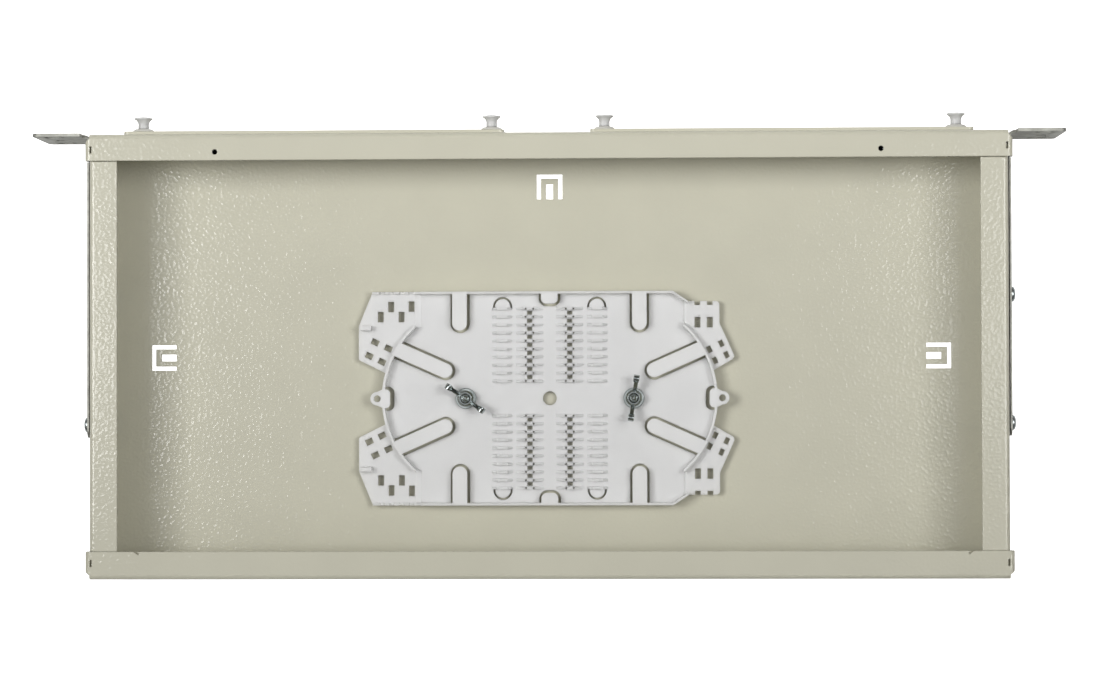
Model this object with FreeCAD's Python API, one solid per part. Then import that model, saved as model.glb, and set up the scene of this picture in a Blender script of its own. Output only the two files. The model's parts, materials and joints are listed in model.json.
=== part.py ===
import FreeCAD, Part
import os
from math import cos, radians, sin, sqrt, tan

V = FreeCAD.Vector
Y_AXIS = V(0, 1, 0)
Z_AXIS = V(0, 0, 1)
SIDES = {"right": 1, "left": -1}

# Driving dimensions in millimetres. The front faces -Y, Z is up, and the origin is
# the middle of the underside. Left and right are as seen from the front.

# Folded chassis
WIDTH = 430.0
DEPTH = 209.0
HEIGHT = 43.6
SHEET = 1.2
BEND_INSIDE_R = 1.0
FRONT_FLANGE = 12.5
SIDE_FLANGE = 13.1
REAR_FLANGE = 13.1
FRONT_SEAM = 0.4
REAR_SEAM = 0.2
CORNER_SEAM = 0.2
LAP_DROP = 8.0
LAP_GAP = 0.85
LAP_CHAMFER = 1.6
LAP_CORNER_X = 1.8
LAP_CORNER_Y = 1.5
LAP_RELIEF_INSET = 0.7
LAP_RELIEF_WIDTH = 0.9
LAP_RELIEF_LENGTH = 3.2

# Openings in the chassis
WINDOW_WIDTH = 142.0
WINDOW_HEIGHT = 30.0
WINDOW_CORNER_R = 2.0
COVER_HOLE_R = 1.25
COVER_HOLE_X = 155.8
COVER_HOLE_SETBACK = 8.6
CABLE_HOLE_R = 10.2
CABLE_HOLE_X = 165.0
NICK_LEFT_X = 197.5
NICK_RIGHT_X = 193.5
NICK_LEAN = 55.0
NICK_WIDTH = 0.7
NICK_LENGTH = 2.2
LANCE_WIDTH = 12.3
LANCE_LENGTH = 11.9
LANCE_SLOT = 2.0
LANCE_EYE_WIDTH = 3.3
LANCE_EYE_LENGTH = 7.2
LANCE_SIDE_X = 186.2
LANCE_FRONT_Y = 81.7

# Adapter panels on the front
PANEL_LENGTH = 179.0
PANEL_HEIGHT = 36.8
PANEL_SHEET = 1.6
PANEL_CENTRE_X = 109.75
PANEL_CORNER_R = 2.0
PORT_COUNT = 8
PORT_PITCH = 17.0
PORT_WIDTH = 9.6
PORT_HEIGHT = 13.0
PORT_SCREW_SPACING = 18.0
PORT_SCREW_R = 1.1

# Push-pull latches that hold the panels
LATCH_SPACING = 166.0
LATCH_HOLE_R = 3.15
LATCH_FIT = 0.15
GROMMET_FLANGE_R = 5.2
GROMMET_DOME = 2.6
GROMMET_RIM = 0.7
GROMMET_TIP = 6.2
GROMMET_BARB = 0.65
GROMMET_SPLIT = 0.9
PLUNGER_HEAD_R = 4.3
PLUNGER_WAIST_R = 2.6
PLUNGER_SHAFT_R = 2.15
PLUNGER_FIT = 0.1
PLUNGER_STAND = 8.4
PLUNGER_RIM = 0.7
PLUNGER_CROWN = 0.5
PLUNGER_FLARE = 3.0
PLUNGER_SEAT_GAP = 0.3

# Rack ears
EAR_SHEET = 1.5
EAR_SPAN = 484.0
EAR_PROUD = 0.55
EAR_HEIGHT = 43.4
EAR_BEND_INSIDE_R = 3.0
EAR_TIP_R = 2.0
EAR_LEG_END = 38.1
EAR_LEG_DROP = 3.0
EAR_LEG_CORNER_R = 4.0
EAR_LAP_CLEAR = 0.8
RACK_HOLE_SPACING = 465.1
RACK_HOLE_PITCH = 31.75
RACK_SLOT_LENGTH = 9.6
RACK_SLOT_R = 3.4
RACK_MIDDLE_R = 2.15

# Screws and nuts that hold the ears
EAR_SCREW_R = 2.0
EAR_SCREW_HOLE_FIT = 0.2
EAR_SCREW_HEAD_R = 3.5
EAR_SCREW_HEAD = 2.2
EAR_SCREW_HEAD_EDGE = 0.9
EAR_SCREW_END = 1.0
EAR_SCREW_PITCH_Y = 60.0
EAR_SCREW_PITCH_Z = 25.0
EAR_SCREW_CENTRE_Y = 2.0
EAR_NUT_FLATS = 7.0
EAR_NUT_THICK = 3.2
THREAD_FIT = 0.05

# Studs, washers and wing nuts that hold the splice tray
STUD_R = 2.0
STUD_SPACING = 80.5
STUD_FOOT_R = 3.0
STUD_FOOT = 0.8
STUD_END = 1.6
WASHER_R = 5.0
WASHER_HOLE_FIT = 0.15
WASHER_THICK = 0.8
NUT_SEAT_GAP = 0.1
NUT_BASE_R = 4.0
NUT_TOP_R = 3.1
NUT_HUB = 6.0
WING_REACH = 11.2
WING_HEIGHT = 10.6
WING_THICK = 2.0
WING_TIP_R = 2.2
WING_TIP_THICK = 2.9
WING_TURN = {"right": -35.0, "left": 82.0}

# Moulded splice tray
TRAY_CENTRE_Y = 20.0
TRAY_BOSS_R = 5.0
TRAY_BOSS = 2.0
TRAY_FLOOR = 1.6
TRAY_RIM = 7.0
TRAY_RIM_THICK = 1.2
TRAY_HALF_DEPTH = 51.2
TRAY_WIDE_LEDGE_X = 61.7
TRAY_NARROW_LEDGE_X = 63.9
TRAY_CHAMFER_X = 4.9
TRAY_CHAMFER_Y = 3.2
TRAY_RIM_END_X = 66.2
TRAY_ARC_R = 47.3
TRAY_ARC_CENTRE_X = 33.0
TRAY_ARC_THICK = 1.2
TRAY_WING_TOP = 2.4
TRAY_WIDE_RAMP = 2.8
TRAY_NARROW_RAMP = 1.2
TRAY_CENTRE_HOLE_R = 3.3
TRAY_STUD_HOLE_FIT = 0.25

# Guide tongues of the tray
TONGUE_THICK = 1.4
TONGUE_GAP = 1.1
LONG_TONGUE_X = 43.0
LONG_TONGUE_WIDTH = 7.0
LONG_TONGUE_LENGTH = 18.1
MIDDLE_TONGUE_WIDTH = 8.0
MIDDLE_TONGUE_LENGTH = 5.4
MIDDLE_TONGUE_CORNER_R = 2.6
SLANT_TONGUE_END_X = 50.0
SLANT_TONGUE_END_Y = 13.4
SLANT_TONGUE_ANGLE = 24.0
SLANT_TONGUE_WIDTH = 7.0
END_TONGUE_WIDTH = 9.2
END_TONGUE_LENGTH = 3.9
END_TONGUE_GAP = 1.7
CLIP_SLIT_X = 22.6
CLIP_SLIT_R = 4.1
CLIP_SLIT_WIDTH = 0.9
CLIP_SLIT_SETBACK = 2.6
CLIP_SLIT_LEG = 1.3
LUG_HOLE_R = 1.6
LUG_R = 3.3
LUG_X = 82.5

# Splice combs of the tray
COMB_INNER_X = 9.6
COMB_OUTER_X = 22.8
COMB_RIBS = 10
COMB_PITCH = 3.85
COMB_START_Y = 8.3
COMB_RIB_THICK = 1.2
COMB_INNER_BASE = 13.2
COMB_OUTER_BASE = 9.8
COMB_RIB_TOP = 5.0
COMB_RIB_HEIGHT = 2.6
COMB_HOLE_WIDTH = 2.5
COMB_HOLE_DEPTH = 1.7
COMB_PIN_R = 0.45
COMB_PIN_X = 1.85

# Cable wings of the tray, in the tray's own frame, where +Y points to the chassis front:
# outer corners of the front one at the wide end and at the narrow end, and the corner rounds
WIDE_WING = [(-85.0, TRAY_HALF_DEPTH), (-91.7, 34.8), (-91.7, 18.6), (-77.0, 11.3)]
WIDE_WING_R = 1.5
NARROW_WING = [(81.3, 46.4), (81.3, 35.8), (88.8, 19.2), (76.5, 12.1)]
NARROW_WING_R = 2.0

# Tie slots in the front wings: middle, width, depth and turn in degrees
WIDE_WING_SLOTS = [
    (-76.1, 44.0, 2.8, 4.9, 0.0), (-66.3, 44.2, 2.8, 4.9, 0.0),
    (-81.1, 39.2, 2.8, 4.9, 0.0), (-71.1, 39.2, 2.8, 4.9, 0.0),
    (-83.8, 27.1, 3.6, 2.8, -25.0), (-77.5, 24.1, 3.6, 2.8, -25.0),
    (-86.7, 20.6, 3.6, 2.8, -25.0), (-80.6, 17.7, 3.6, 2.8, -25.0)]
NARROW_WING_SLOTS = [
    (70.7, 45.6, 2.7, 2.2, 0.0), (76.7, 45.6, 2.7, 2.2, 0.0),
    (70.8, 36.2, 2.8, 4.9, 0.0), (76.7, 36.2, 2.8, 4.9, 0.0),
    (76.4, 23.2, 2.2, 3.1, 25.0), (82.1, 26.0, 2.2, 3.1, 25.0),
    (79.1, 17.9, 2.2, 3.1, 25.0), (84.6, 20.6, 2.2, 3.1, 25.0)]
WING_EDGE_RIM = 2.0
WING_EDGE_DIPS = 4
WING_EDGE_DIP_R = 1.3
WING_NUB = (-88.2, 33.8, 5.5, 2.1)

# Sizes that follow from the driving ones
BEND_R = BEND_INSIDE_R + SHEET
HALF_WIDTH = WIDTH / 2
FRONT = -DEPTH / 2
REAR = DEPTH / 2
MID_Z = HEIGHT / 2
PANEL_FACE = FRONT - PANEL_SHEET
WALL_INSIDE = HALF_WIDTH - SHEET
GROMMET_R = LATCH_HOLE_R - LATCH_FIT
GROMMET_BORE_R = PLUNGER_SHAFT_R + PLUNGER_FIT
STUD_X = STUD_SPACING / 2
TRAY_Z = SHEET + TRAY_BOSS
TRAY_FLOOR_Z = TRAY_Z + TRAY_FLOOR
NUT_Z = TRAY_FLOOR_Z + WASHER_THICK + NUT_SEAT_GAP
STUD_TOP = NUT_Z + NUT_HUB + STUD_END
CORNER_SHARE = 0.4
DOME_TURN = radians(40)
TINY = 1e-6


# Shape helpers

def box(x0, x1, y0, y1, z0, z1):
    """Block between two opposite corners given in any order."""
    low = V(min(x0, x1), min(y0, y1), min(z0, z1))
    return Part.makeBox(abs(x1 - x0), abs(y1 - y0), abs(z1 - z0), low)


def rounded_wire(points, radii):
    """Closed wire through points, with each corner rounded by its own radius."""
    stops = []
    count = len(points)
    for index, corner in enumerate(points):
        radius = radii[index]
        if radius < TINY:
            stops.append((corner, None, corner))
            continue
        back = points[index - 1] - corner
        ahead = points[(index + 1) % count] - corner
        back.normalize()
        ahead.normalize()
        half = back.getAngle(ahead) / 2
        bisector = back + ahead
        bisector.normalize()
        reach = radius / tan(half)
        middle = corner + bisector * (radius / sin(half) - radius)
        stops.append((corner + back * reach, middle, corner + ahead * reach))
    edges = []
    for index, (start, middle, end) in enumerate(stops):
        if middle is not None:
            edges.append(Part.Arc(start, middle, end).toShape())
        following = stops[(index + 1) % count][0]
        if end.distanceToPoint(following) > TINY:
            edges.append(Part.LineSegment(end, following).toShape())
    return Part.Wire(edges)


def prism(points, radii, travel):
    """Solid swept along travel from a flat outline with rounded corners."""
    return Part.Face(rounded_wire(points, radii)).extrude(travel)


def plan_plate(outline, radius, z0, z1):
    """Flat plate between two heights, with one corner radius all round."""
    points = [V(x, y, z0) for x, y in outline]
    return prism(points, [radius] * len(points), V(0, 0, z1 - z0))


def front_plate(x0, x1, z0, z1, y0, y1, radius):
    """Upright plate facing the front, with rounded corners."""
    points = [V(x0, y0, z0), V(x1, y0, z0), V(x1, y0, z1), V(x0, y0, z1)]
    return prism(points, [radius] * 4, V(0, y1 - y0, 0))


def rectangle(cx, cy, width, depth):
    """Corners of a rectangle about a middle point."""
    return [(cx - width / 2, cy - depth / 2), (cx + width / 2, cy - depth / 2),
            (cx + width / 2, cy + depth / 2), (cx - width / 2, cy + depth / 2)]


def round_bar(radius, start, end):
    """Cylinder between two points."""
    axis = end - start
    return Part.makeCylinder(radius, axis.Length, start, axis)


def turned(profile, place):
    """Solid turned about Z, then placed. A step is radius, height, or an arc's middle and end."""
    edges = []
    at = V(profile[0][0], 0, profile[0][1])
    start = at
    for step in profile[1:] + [profile[0]]:
        to = V(step[-2], 0, step[-1])
        if len(step) == 4:
            edges.append(Part.Arc(at, V(step[0], 0, step[1]), to).toShape())
        elif at.distanceToPoint(to) > TINY:
            edges.append(Part.LineSegment(at, to).toShape())
        at = to
    if at.distanceToPoint(start) > TINY:
        edges.append(Part.LineSegment(at, start).toShape())
    return moved(Part.Face(Part.Wire(edges)).revolve(V(0, 0, 0), Z_AXIS, 360), place)


def moved(shape, place):
    """Copy of a shape at a placement."""
    copy = shape.copy()
    copy.Placement = place.multiply(copy.Placement)
    return copy


def outward(x, y, z):
    """Placement that turns local +Z to the front, -Y."""
    return FreeCAD.Placement(V(x, y, z), FreeCAD.Rotation(Z_AXIS, V(0, -1, 0)))


def one(shapes):
    """Single clean solid from touching or crossing shapes."""
    return shapes[0].multiFuse(shapes[1:]).removeSplitter()


def at(x, y, z, turn=0.0):
    """Placement at a point, turned about Z by degrees."""
    return FreeCAD.Placement(V(x, y, z), FreeCAD.Rotation(Z_AXIS, turn))


# Folded chassis

def wall_section(point, flange, travel):
    """Wall with its floor bend, top bend and inward flange; point maps depth and height."""
    steps = [(BEND_R, 0), (0, 0), (0, HEIGHT), (flange, HEIGHT), (flange, HEIGHT - SHEET),
             (SHEET, HEIGHT - SHEET), (SHEET, SHEET), (BEND_R, SHEET)]
    radii = [0, BEND_R, BEND_R, 0, 0, BEND_INSIDE_R, BEND_INSIDE_R, 0]
    return prism([point(depth, z) for depth, z in steps], radii, travel)


def plain_wall_section(point, top, travel):
    """Wall with its floor bend and a plain top edge."""
    steps = [(BEND_R, 0), (0, 0), (0, top), (SHEET, top), (SHEET, SHEET), (BEND_R, SHEET)]
    radii = [0, BEND_R, 0, 0, BEND_INSIDE_R, 0]
    return prism([point(depth, z) for depth, z in steps], radii, travel)


def wall_end_section(point, travel):
    """Wall above the floor bend, with its top bend only."""
    steps = [(0, BEND_R), (0, HEIGHT), (BEND_R, HEIGHT), (BEND_R, HEIGHT - SHEET),
             (SHEET, HEIGHT - SHEET), (SHEET, BEND_R)]
    radii = [0, BEND_R, 0, 0, BEND_INSIDE_R, 0]
    return prism([point(depth, z) for depth, z in steps], radii, travel)


def side_wall(side):
    """Side wall: flanged between the end flanges, plain below them."""
    flange_front = FRONT + FRONT_FLANGE + FRONT_SEAM
    flange_rear = REAR - REAR_FLANGE - REAR_SEAM
    plain_top = HEIGHT - BEND_R - CORNER_SEAM

    def point(y):
        return lambda depth, z: V(side * (HALF_WIDTH - depth), y, z)

    pieces = [wall_section(point(flange_front), SIDE_FLANGE, V(0, flange_rear - flange_front, 0))]
    for start, stop in ((FRONT + BEND_R, flange_front), (flange_rear, REAR - BEND_R)):
        pieces.append(plain_wall_section(point(start), plain_top, V(0, stop - start, 0)))
    for corner, into in ((FRONT, 1), (REAR, -1)):
        near = corner + into * (SHEET + CORNER_SEAM)
        far = corner + into * BEND_R
        pieces.append(box(side * WALL_INSIDE, side * HALF_WIDTH, near, far, BEND_R, plain_top))
    return pieces


def lap_tab(side, end, into, flange):
    """End of a front or rear flange, folded down over the outside of the side wall."""
    inner = HALF_WIDTH + LAP_GAP
    outer = inner + SHEET
    root = HALF_WIDTH - BEND_R
    bottom = HEIGHT - LAP_DROP
    near = end + into * BEND_R
    far = end + into * flange
    steps = [(root, HEIGHT), (outer, HEIGHT), (outer, bottom), (inner, bottom),
             (inner, HEIGHT - SHEET), (root, HEIGHT - SHEET)]
    strip = prism([V(side * x, near, z) for x, z in steps], [0, BEND_R, 0, 0, BEND_INSIDE_R, 0],
                  V(0, far - near, 0))
    face = [V(side * root, near, bottom), V(side * root, far, bottom),
            V(side * root, far, HEIGHT), V(side * root, near, HEIGHT)]
    trim = prism(face, [LAP_CHAMFER, LAP_CHAMFER, 0, 0], V(side * (outer - root), 0, 0))
    corner = prism([V(side * outer, near, bottom), V(side * outer, near + into * LAP_CORNER_Y, bottom),
                    V(side * (outer - LAP_CORNER_X), near, bottom)], [0] * 3, V(0, 0, LAP_DROP))
    relief_x = HALF_WIDTH - LAP_RELIEF_INSET
    relief_y = (near + far) / 2
    relief = box(side * (relief_x - LAP_RELIEF_WIDTH / 2), side * (relief_x + LAP_RELIEF_WIDTH / 2),
                 relief_y - LAP_RELIEF_LENGTH / 2, relief_y + LAP_RELIEF_LENGTH / 2,
                 HEIGHT - 2 * BEND_R, HEIGHT)
    return strip.common(trim).cut([corner, relief])


def end_wall(end, into, flange):
    """Front or rear wall with its flange and the two lap tabs."""
    root = HALF_WIDTH - BEND_R

    def point(x):
        return lambda depth, z: V(x, end + into * depth, z)

    pieces = [wall_section(point(-root), flange, V(2 * root, 0, 0))]
    for side in SIDES.values():
        pieces.append(wall_end_section(point(side * root), V(side * BEND_R, 0, 0)))
        pieces.append(lap_tab(side, end, into, flange))
    return pieces


def cable_lance(x, y, turn):
    """Cut for a cable tie: a U slot round a tongue with an eye, open side along local -Y."""
    half = LANCE_WIDTH / 2
    top = LANCE_LENGTH / 2
    eye = LANCE_EYE_WIDTH / 2
    parts = [box(-half, half, top - LANCE_SLOT, top, 0, SHEET),
             box(-half, LANCE_SLOT - half, -top, top, 0, SHEET),
             box(half - LANCE_SLOT, half, -top, top, 0, SHEET),
             box(-eye, eye, -top, LANCE_EYE_LENGTH - top, 0, SHEET)]
    return [moved(part, at(x, y, 0, turn)) for part in parts]


def latch_places():
    """X of the two latches of each panel, by side."""
    half = LATCH_SPACING / 2
    return {name: [side * (PANEL_CENTRE_X - half), side * (PANEL_CENTRE_X + half)]
            for name, side in SIDES.items()}


def ear_screw_places():
    """Y, Z of the four ear screws of one side."""
    return [(EAR_SCREW_CENTRE_Y + row * EAR_SCREW_PITCH_Y / 2, MID_Z + level * EAR_SCREW_PITCH_Z / 2)
            for row in (-1, 1) for level in (-1, 1)]


def chassis_cuts():
    """Everything cut through the folded sheet."""
    inside = FRONT + SHEET
    cuts = cable_lance(0, -LANCE_FRONT_Y, 180)
    for name, side in SIDES.items():
        cuts += cable_lance(side * LANCE_SIDE_X, 0, -90 * side)
        middle = side * PANEL_CENTRE_X
        cuts.append(front_plate(middle - WINDOW_WIDTH / 2, middle + WINDOW_WIDTH / 2,
                                MID_Z - WINDOW_HEIGHT / 2, MID_Z + WINDOW_HEIGHT / 2,
                                FRONT, inside, WINDOW_CORNER_R))
        for x in latch_places()[name]:
            cuts.append(round_bar(LATCH_HOLE_R, V(x, FRONT, MID_Z), V(x, inside, MID_Z)))
        hole = V(side * COVER_HOLE_X, FRONT + COVER_HOLE_SETBACK, HEIGHT - SHEET)
        cuts.append(round_bar(COVER_HOLE_R, hole, hole + Z_AXIS * SHEET))
        entry = V(side * CABLE_HOLE_X, REAR - SHEET, MID_Z)
        cuts.append(round_bar(CABLE_HOLE_R, entry, entry + Y_AXIS * SHEET))
        for y, z in ear_screw_places():
            cuts.append(round_bar(EAR_SCREW_R + EAR_SCREW_HOLE_FIT,
                                  V(side * WALL_INSIDE, y, z), V(side * HALF_WIDTH, y, z)))
        nick = box(-NICK_WIDTH / 2, NICK_WIDTH / 2, -NICK_LENGTH, NICK_LENGTH,
                   HEIGHT - SHEET, HEIGHT)
        nick_x = {"left": NICK_LEFT_X, "right": NICK_RIGHT_X}[name]
        cuts.append(moved(nick, at(side * nick_x, REAR - REAR_FLANGE, 0, NICK_LEAN * side)))
    return cuts


def chassis_tray():
    """Floor, walls, flanges and lap tabs of the folded and welded box."""
    root_x = HALF_WIDTH - BEND_R
    root_y = DEPTH / 2 - BEND_R
    pieces = [box(-root_x, root_x, -root_y, root_y, 0, SHEET)]
    for side in SIDES.values():
        pieces += side_wall(side)
    pieces += end_wall(FRONT, 1, FRONT_FLANGE)
    pieces += end_wall(REAR, -1, REAR_FLANGE)
    return one(pieces).cut(chassis_cuts())


# Adapter panels and their latches

def adapter_panel(name):
    """Plate with a row of adapter ports, each with its two screw holes."""
    middle = SIDES[name] * PANEL_CENTRE_X
    plate = front_plate(middle - PANEL_LENGTH / 2, middle + PANEL_LENGTH / 2,
                        MID_Z - PANEL_HEIGHT / 2, MID_Z + PANEL_HEIGHT / 2,
                        FRONT, PANEL_FACE, PANEL_CORNER_R)
    cuts = []
    for index in range(PORT_COUNT):
        x = middle + (index - (PORT_COUNT - 1) / 2) * PORT_PITCH
        cuts.append(box(x - PORT_WIDTH / 2, x + PORT_WIDTH / 2, FRONT, PANEL_FACE,
                        MID_Z - PORT_HEIGHT / 2, MID_Z + PORT_HEIGHT / 2))
        for level in (-1, 1):
            z = MID_Z + level * PORT_SCREW_SPACING / 2
            cuts.append(round_bar(PORT_SCREW_R, V(x, FRONT, z), V(x, PANEL_FACE, z)))
    for x in latch_places()[name]:
        cuts.append(round_bar(LATCH_HOLE_R, V(x, FRONT, MID_Z), V(x, PANEL_FACE, MID_Z)))
    return plate.cut(cuts)


def latch_grommet(x):
    """Domed grommet whose split legs snap in behind the chassis wall."""
    grip = -(PANEL_SHEET + SHEET + LATCH_FIT)
    barb = GROMMET_R + GROMMET_BARB
    flat = PLUNGER_WAIST_R + GROMMET_BARB
    tip = grip - GROMMET_TIP
    tip_r = (GROMMET_BORE_R + GROMMET_R) / 2
    rise = GROMMET_DOME - GROMMET_RIM
    run = GROMMET_FLANGE_R - flat
    profile = [(GROMMET_BORE_R, GROMMET_DOME), (flat, GROMMET_DOME),
               (flat + run * sin(DOME_TURN), GROMMET_RIM + rise * cos(DOME_TURN),
                GROMMET_FLANGE_R, GROMMET_RIM),
               (GROMMET_FLANGE_R, 0), (GROMMET_R, 0), (GROMMET_R, grip), (barb, grip),
               (barb, grip - GROMMET_BARB), (tip_r, tip), (GROMMET_BORE_R, tip)]
    place = outward(x, PANEL_FACE, MID_Z)
    body = turned(profile, FreeCAD.Placement())
    slits = [box(-barb, barb, -GROMMET_SPLIT / 2, GROMMET_SPLIT / 2, tip, -PANEL_SHEET / 2),
             box(-GROMMET_SPLIT / 2, GROMMET_SPLIT / 2, -barb, barb, tip, -PANEL_SHEET / 2)]
    return moved(body.cut(slits), place)


def latch_plunger(x):
    """Trumpet-headed plunger that spreads the grommet's legs when pushed in."""
    seat = GROMMET_DOME + PLUNGER_SEAT_GAP
    edge = PLUNGER_STAND - PLUNGER_CROWN
    under = edge - PLUNGER_RIM
    waist = under - PLUNGER_FLARE
    spread = PLUNGER_HEAD_R - PLUNGER_WAIST_R
    tip = -(PANEL_SHEET + SHEET + LATCH_FIT + GROMMET_TIP)
    point = PLUNGER_SHAFT_R / 2
    profile = [(0, PLUNGER_STAND),
               (PLUNGER_HEAD_R / 2, PLUNGER_STAND - PLUNGER_CROWN / 4, PLUNGER_HEAD_R, edge),
               (PLUNGER_HEAD_R, under),
               (PLUNGER_HEAD_R - spread * cos(radians(45)), waist + PLUNGER_FLARE * sin(radians(45)),
                PLUNGER_WAIST_R, waist),
               (PLUNGER_WAIST_R, seat), (PLUNGER_SHAFT_R, seat),
               (PLUNGER_SHAFT_R, tip + point), (point, tip), (0, tip)]
    return turned(profile, outward(x, PANEL_FACE, MID_Z))


# Rack ears and their fasteners

def rack_ear(side):
    """Angle bracket: slotted ear in front, leg along the side wall, notched for the lap tab."""
    leg = HALF_WIDTH + EAR_SHEET
    tip = EAR_SPAN / 2
    face = FRONT - EAR_PROUD
    back = face + EAR_SHEET
    room = (tip - leg) * CORNER_SHARE
    inside_r = min(EAR_BEND_INSIDE_R, room)
    bend = inside_r + EAR_SHEET
    z0 = MID_Z - EAR_HEIGHT / 2
    z1 = MID_Z + EAR_HEIGHT / 2
    lap_end = FRONT + FRONT_FLANGE + FRONT_SEAM
    lap_bottom = HEIGHT - LAP_DROP - EAR_LAP_CLEAR
    leg_top = HEIGHT - EAR_LEG_DROP
    plan = [(HALF_WIDTH, EAR_LEG_END), (HALF_WIDTH, face), (tip, face), (tip, back),
            (leg, back), (leg, EAR_LEG_END)]
    body = prism([V(side * x, y, z0) for x, y in plan], [0, bend, 0, 0, inside_r, 0],
                 V(0, 0, EAR_HEIGHT))
    ear_start = HALF_WIDTH + bend
    cuts = [box(side * HALF_WIDTH, side * ear_start, face, lap_end, lap_bottom, z1),
            box(side * HALF_WIDTH, side * leg, lap_end, EAR_LEG_END, leg_top, z1)]
    slot_half = RACK_SLOT_LENGTH / 2
    hole_x = side * RACK_HOLE_SPACING / 2
    for level in (-1, 1):
        z = MID_Z + level * RACK_HOLE_PITCH / 2
        cuts.append(front_plate(hole_x - slot_half, hole_x + slot_half, z - RACK_SLOT_R,
                                z + RACK_SLOT_R, face, back, RACK_SLOT_R))
    cuts.append(round_bar(RACK_MIDDLE_R, V(hole_x, face, MID_Z), V(hole_x, back, MID_Z)))
    for y, z in ear_screw_places():
        cuts.append(round_bar(EAR_SCREW_R + EAR_SCREW_HOLE_FIT,
                              V(side * HALF_WIDTH, y, z), V(side * leg, y, z)))
    body = body.cut(cuts)
    tips = [edge for edge in body.Edges if lies_at(edge, side * tip, None, (z0, z1))]
    body = body.makeFillet(min(EAR_TIP_R, room), tips)
    ends = [edge for edge in body.Edges if lies_at(edge, None, EAR_LEG_END, (z0, leg_top))]
    return body.makeFillet(EAR_LEG_CORNER_R, ends)


def lies_at(edge, x, y, heights):
    """True for an edge lying level at one of the heights, and at x or at y where given."""
    box_of = edge.BoundBox
    level = any(abs(box_of.ZMin - z) < TINY and abs(box_of.ZMax - z) < TINY for z in heights)
    on_x = x is None or max(abs(box_of.XMin - x), abs(box_of.XMax - x)) < TINY
    on_y = y is None or max(abs(box_of.YMin - y), abs(box_of.YMax - y)) < TINY
    return level and on_x and on_y


def fitted_screw_places(name):
    """Ear screws that are there: the right ear has lost its upper front one."""
    lost = (EAR_SCREW_CENTRE_Y - EAR_SCREW_PITCH_Y / 2, MID_Z + EAR_SCREW_PITCH_Z / 2)
    return [place for place in ear_screw_places() if name == "left" or place != lost]


def ear_screws(name):
    """Pan-head screws through the ear's leg and the side wall."""
    side = SIDES[name]
    turn = FreeCAD.Rotation(Z_AXIS, V(side, 0, 0))
    end = -(EAR_SHEET + SHEET + EAR_NUT_THICK + EAR_SCREW_END)
    profile = [(0, EAR_SCREW_HEAD),
               (EAR_SCREW_HEAD_R * sin(DOME_TURN),
                EAR_SCREW_HEAD_EDGE + (EAR_SCREW_HEAD - EAR_SCREW_HEAD_EDGE) * cos(DOME_TURN),
                EAR_SCREW_HEAD_R, EAR_SCREW_HEAD_EDGE),
               (EAR_SCREW_HEAD_R, 0), (EAR_SCREW_R, 0), (EAR_SCREW_R, end), (0, end)]
    return Part.makeCompound([
        turned(profile, FreeCAD.Placement(V(side * (HALF_WIDTH + EAR_SHEET), y, z), turn))
        for y, z in fitted_screw_places(name)])


def ear_nuts(name):
    """Hexagon nuts on the ear screws, inside the side wall."""
    side = SIDES[name]
    corner = EAR_NUT_FLATS / 2 / cos(radians(30))
    nuts = []
    for y, z in fitted_screw_places(name):
        face = V(side * WALL_INSIDE, y, z)
        points = [face + V(0, corner * cos(radians(60 * step)), corner * sin(radians(60 * step)))
                  for step in range(6)]
        travel = V(-side * EAR_NUT_THICK, 0, 0)
        hexagon = prism(points, [0] * 6, travel)
        nuts.append(hexagon.cut(round_bar(EAR_SCREW_R + THREAD_FIT, face, face + travel)))
    return Part.makeCompound(nuts)


# Studs, washers and wing nuts under and over the splice tray

def tray_stud(side):
    """Threaded weld stud on the chassis floor."""
    foot = SHEET + STUD_FOOT
    chamfer = STUD_R / 4
    profile = [(0, SHEET), (STUD_FOOT_R, SHEET), (STUD_FOOT_R, foot), (STUD_R, foot),
               (STUD_R, STUD_TOP - chamfer), (STUD_R - chamfer, STUD_TOP), (0, STUD_TOP)]
    return turned(profile, at(side * STUD_X, TRAY_CENTRE_Y, 0))


def tray_washer(side):
    """Flat washer on the tray floor."""
    bore = STUD_R + WASHER_HOLE_FIT
    profile = [(bore, 0), (WASHER_R, 0), (WASHER_R, WASHER_THICK), (bore, WASHER_THICK)]
    return turned(profile, at(side * STUD_X, TRAY_CENTRE_Y, TRAY_FLOOR_Z))


def wing_nut(name):
    """Wing nut: tapered hub, two rising arms and thick round tips."""
    bore = STUD_R + THREAD_FIT
    root = (bore + NUT_TOP_R) / 2
    tip_x = WING_REACH - WING_TIP_R
    tip_z = WING_HEIGHT - WING_TIP_R
    slant = WING_TIP_R * sin(radians(45))
    base = WASHER_THICK
    hub = turned([(bore, 0), (NUT_BASE_R, 0), (NUT_BASE_R, base), (NUT_TOP_R, NUT_HUB),
                  (bore, NUT_HUB)], FreeCAD.Placement())
    pieces = [hub]
    arm = [(root, base), (NUT_BASE_R, base), (tip_x + slant, tip_z - slant),
           (tip_x - slant, tip_z + slant), (root, NUT_HUB)]
    for way in (1, -1):
        points = [V(way * x, -WING_THICK / 2, z) for x, z in arm]
        pieces.append(prism(points, [0] * len(points), V(0, WING_THICK, 0)))
        pieces.append(round_bar(WING_TIP_R, V(way * tip_x, -WING_TIP_THICK / 2, tip_z),
                                V(way * tip_x, WING_TIP_THICK / 2, tip_z)))
    return moved(one(pieces), at(SIDES[name] * STUD_X, TRAY_CENTRE_Y, NUT_Z, WING_TURN[name]))


# Splice tray, made in its own frame: origin on its underside, +Y to the chassis front

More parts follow.
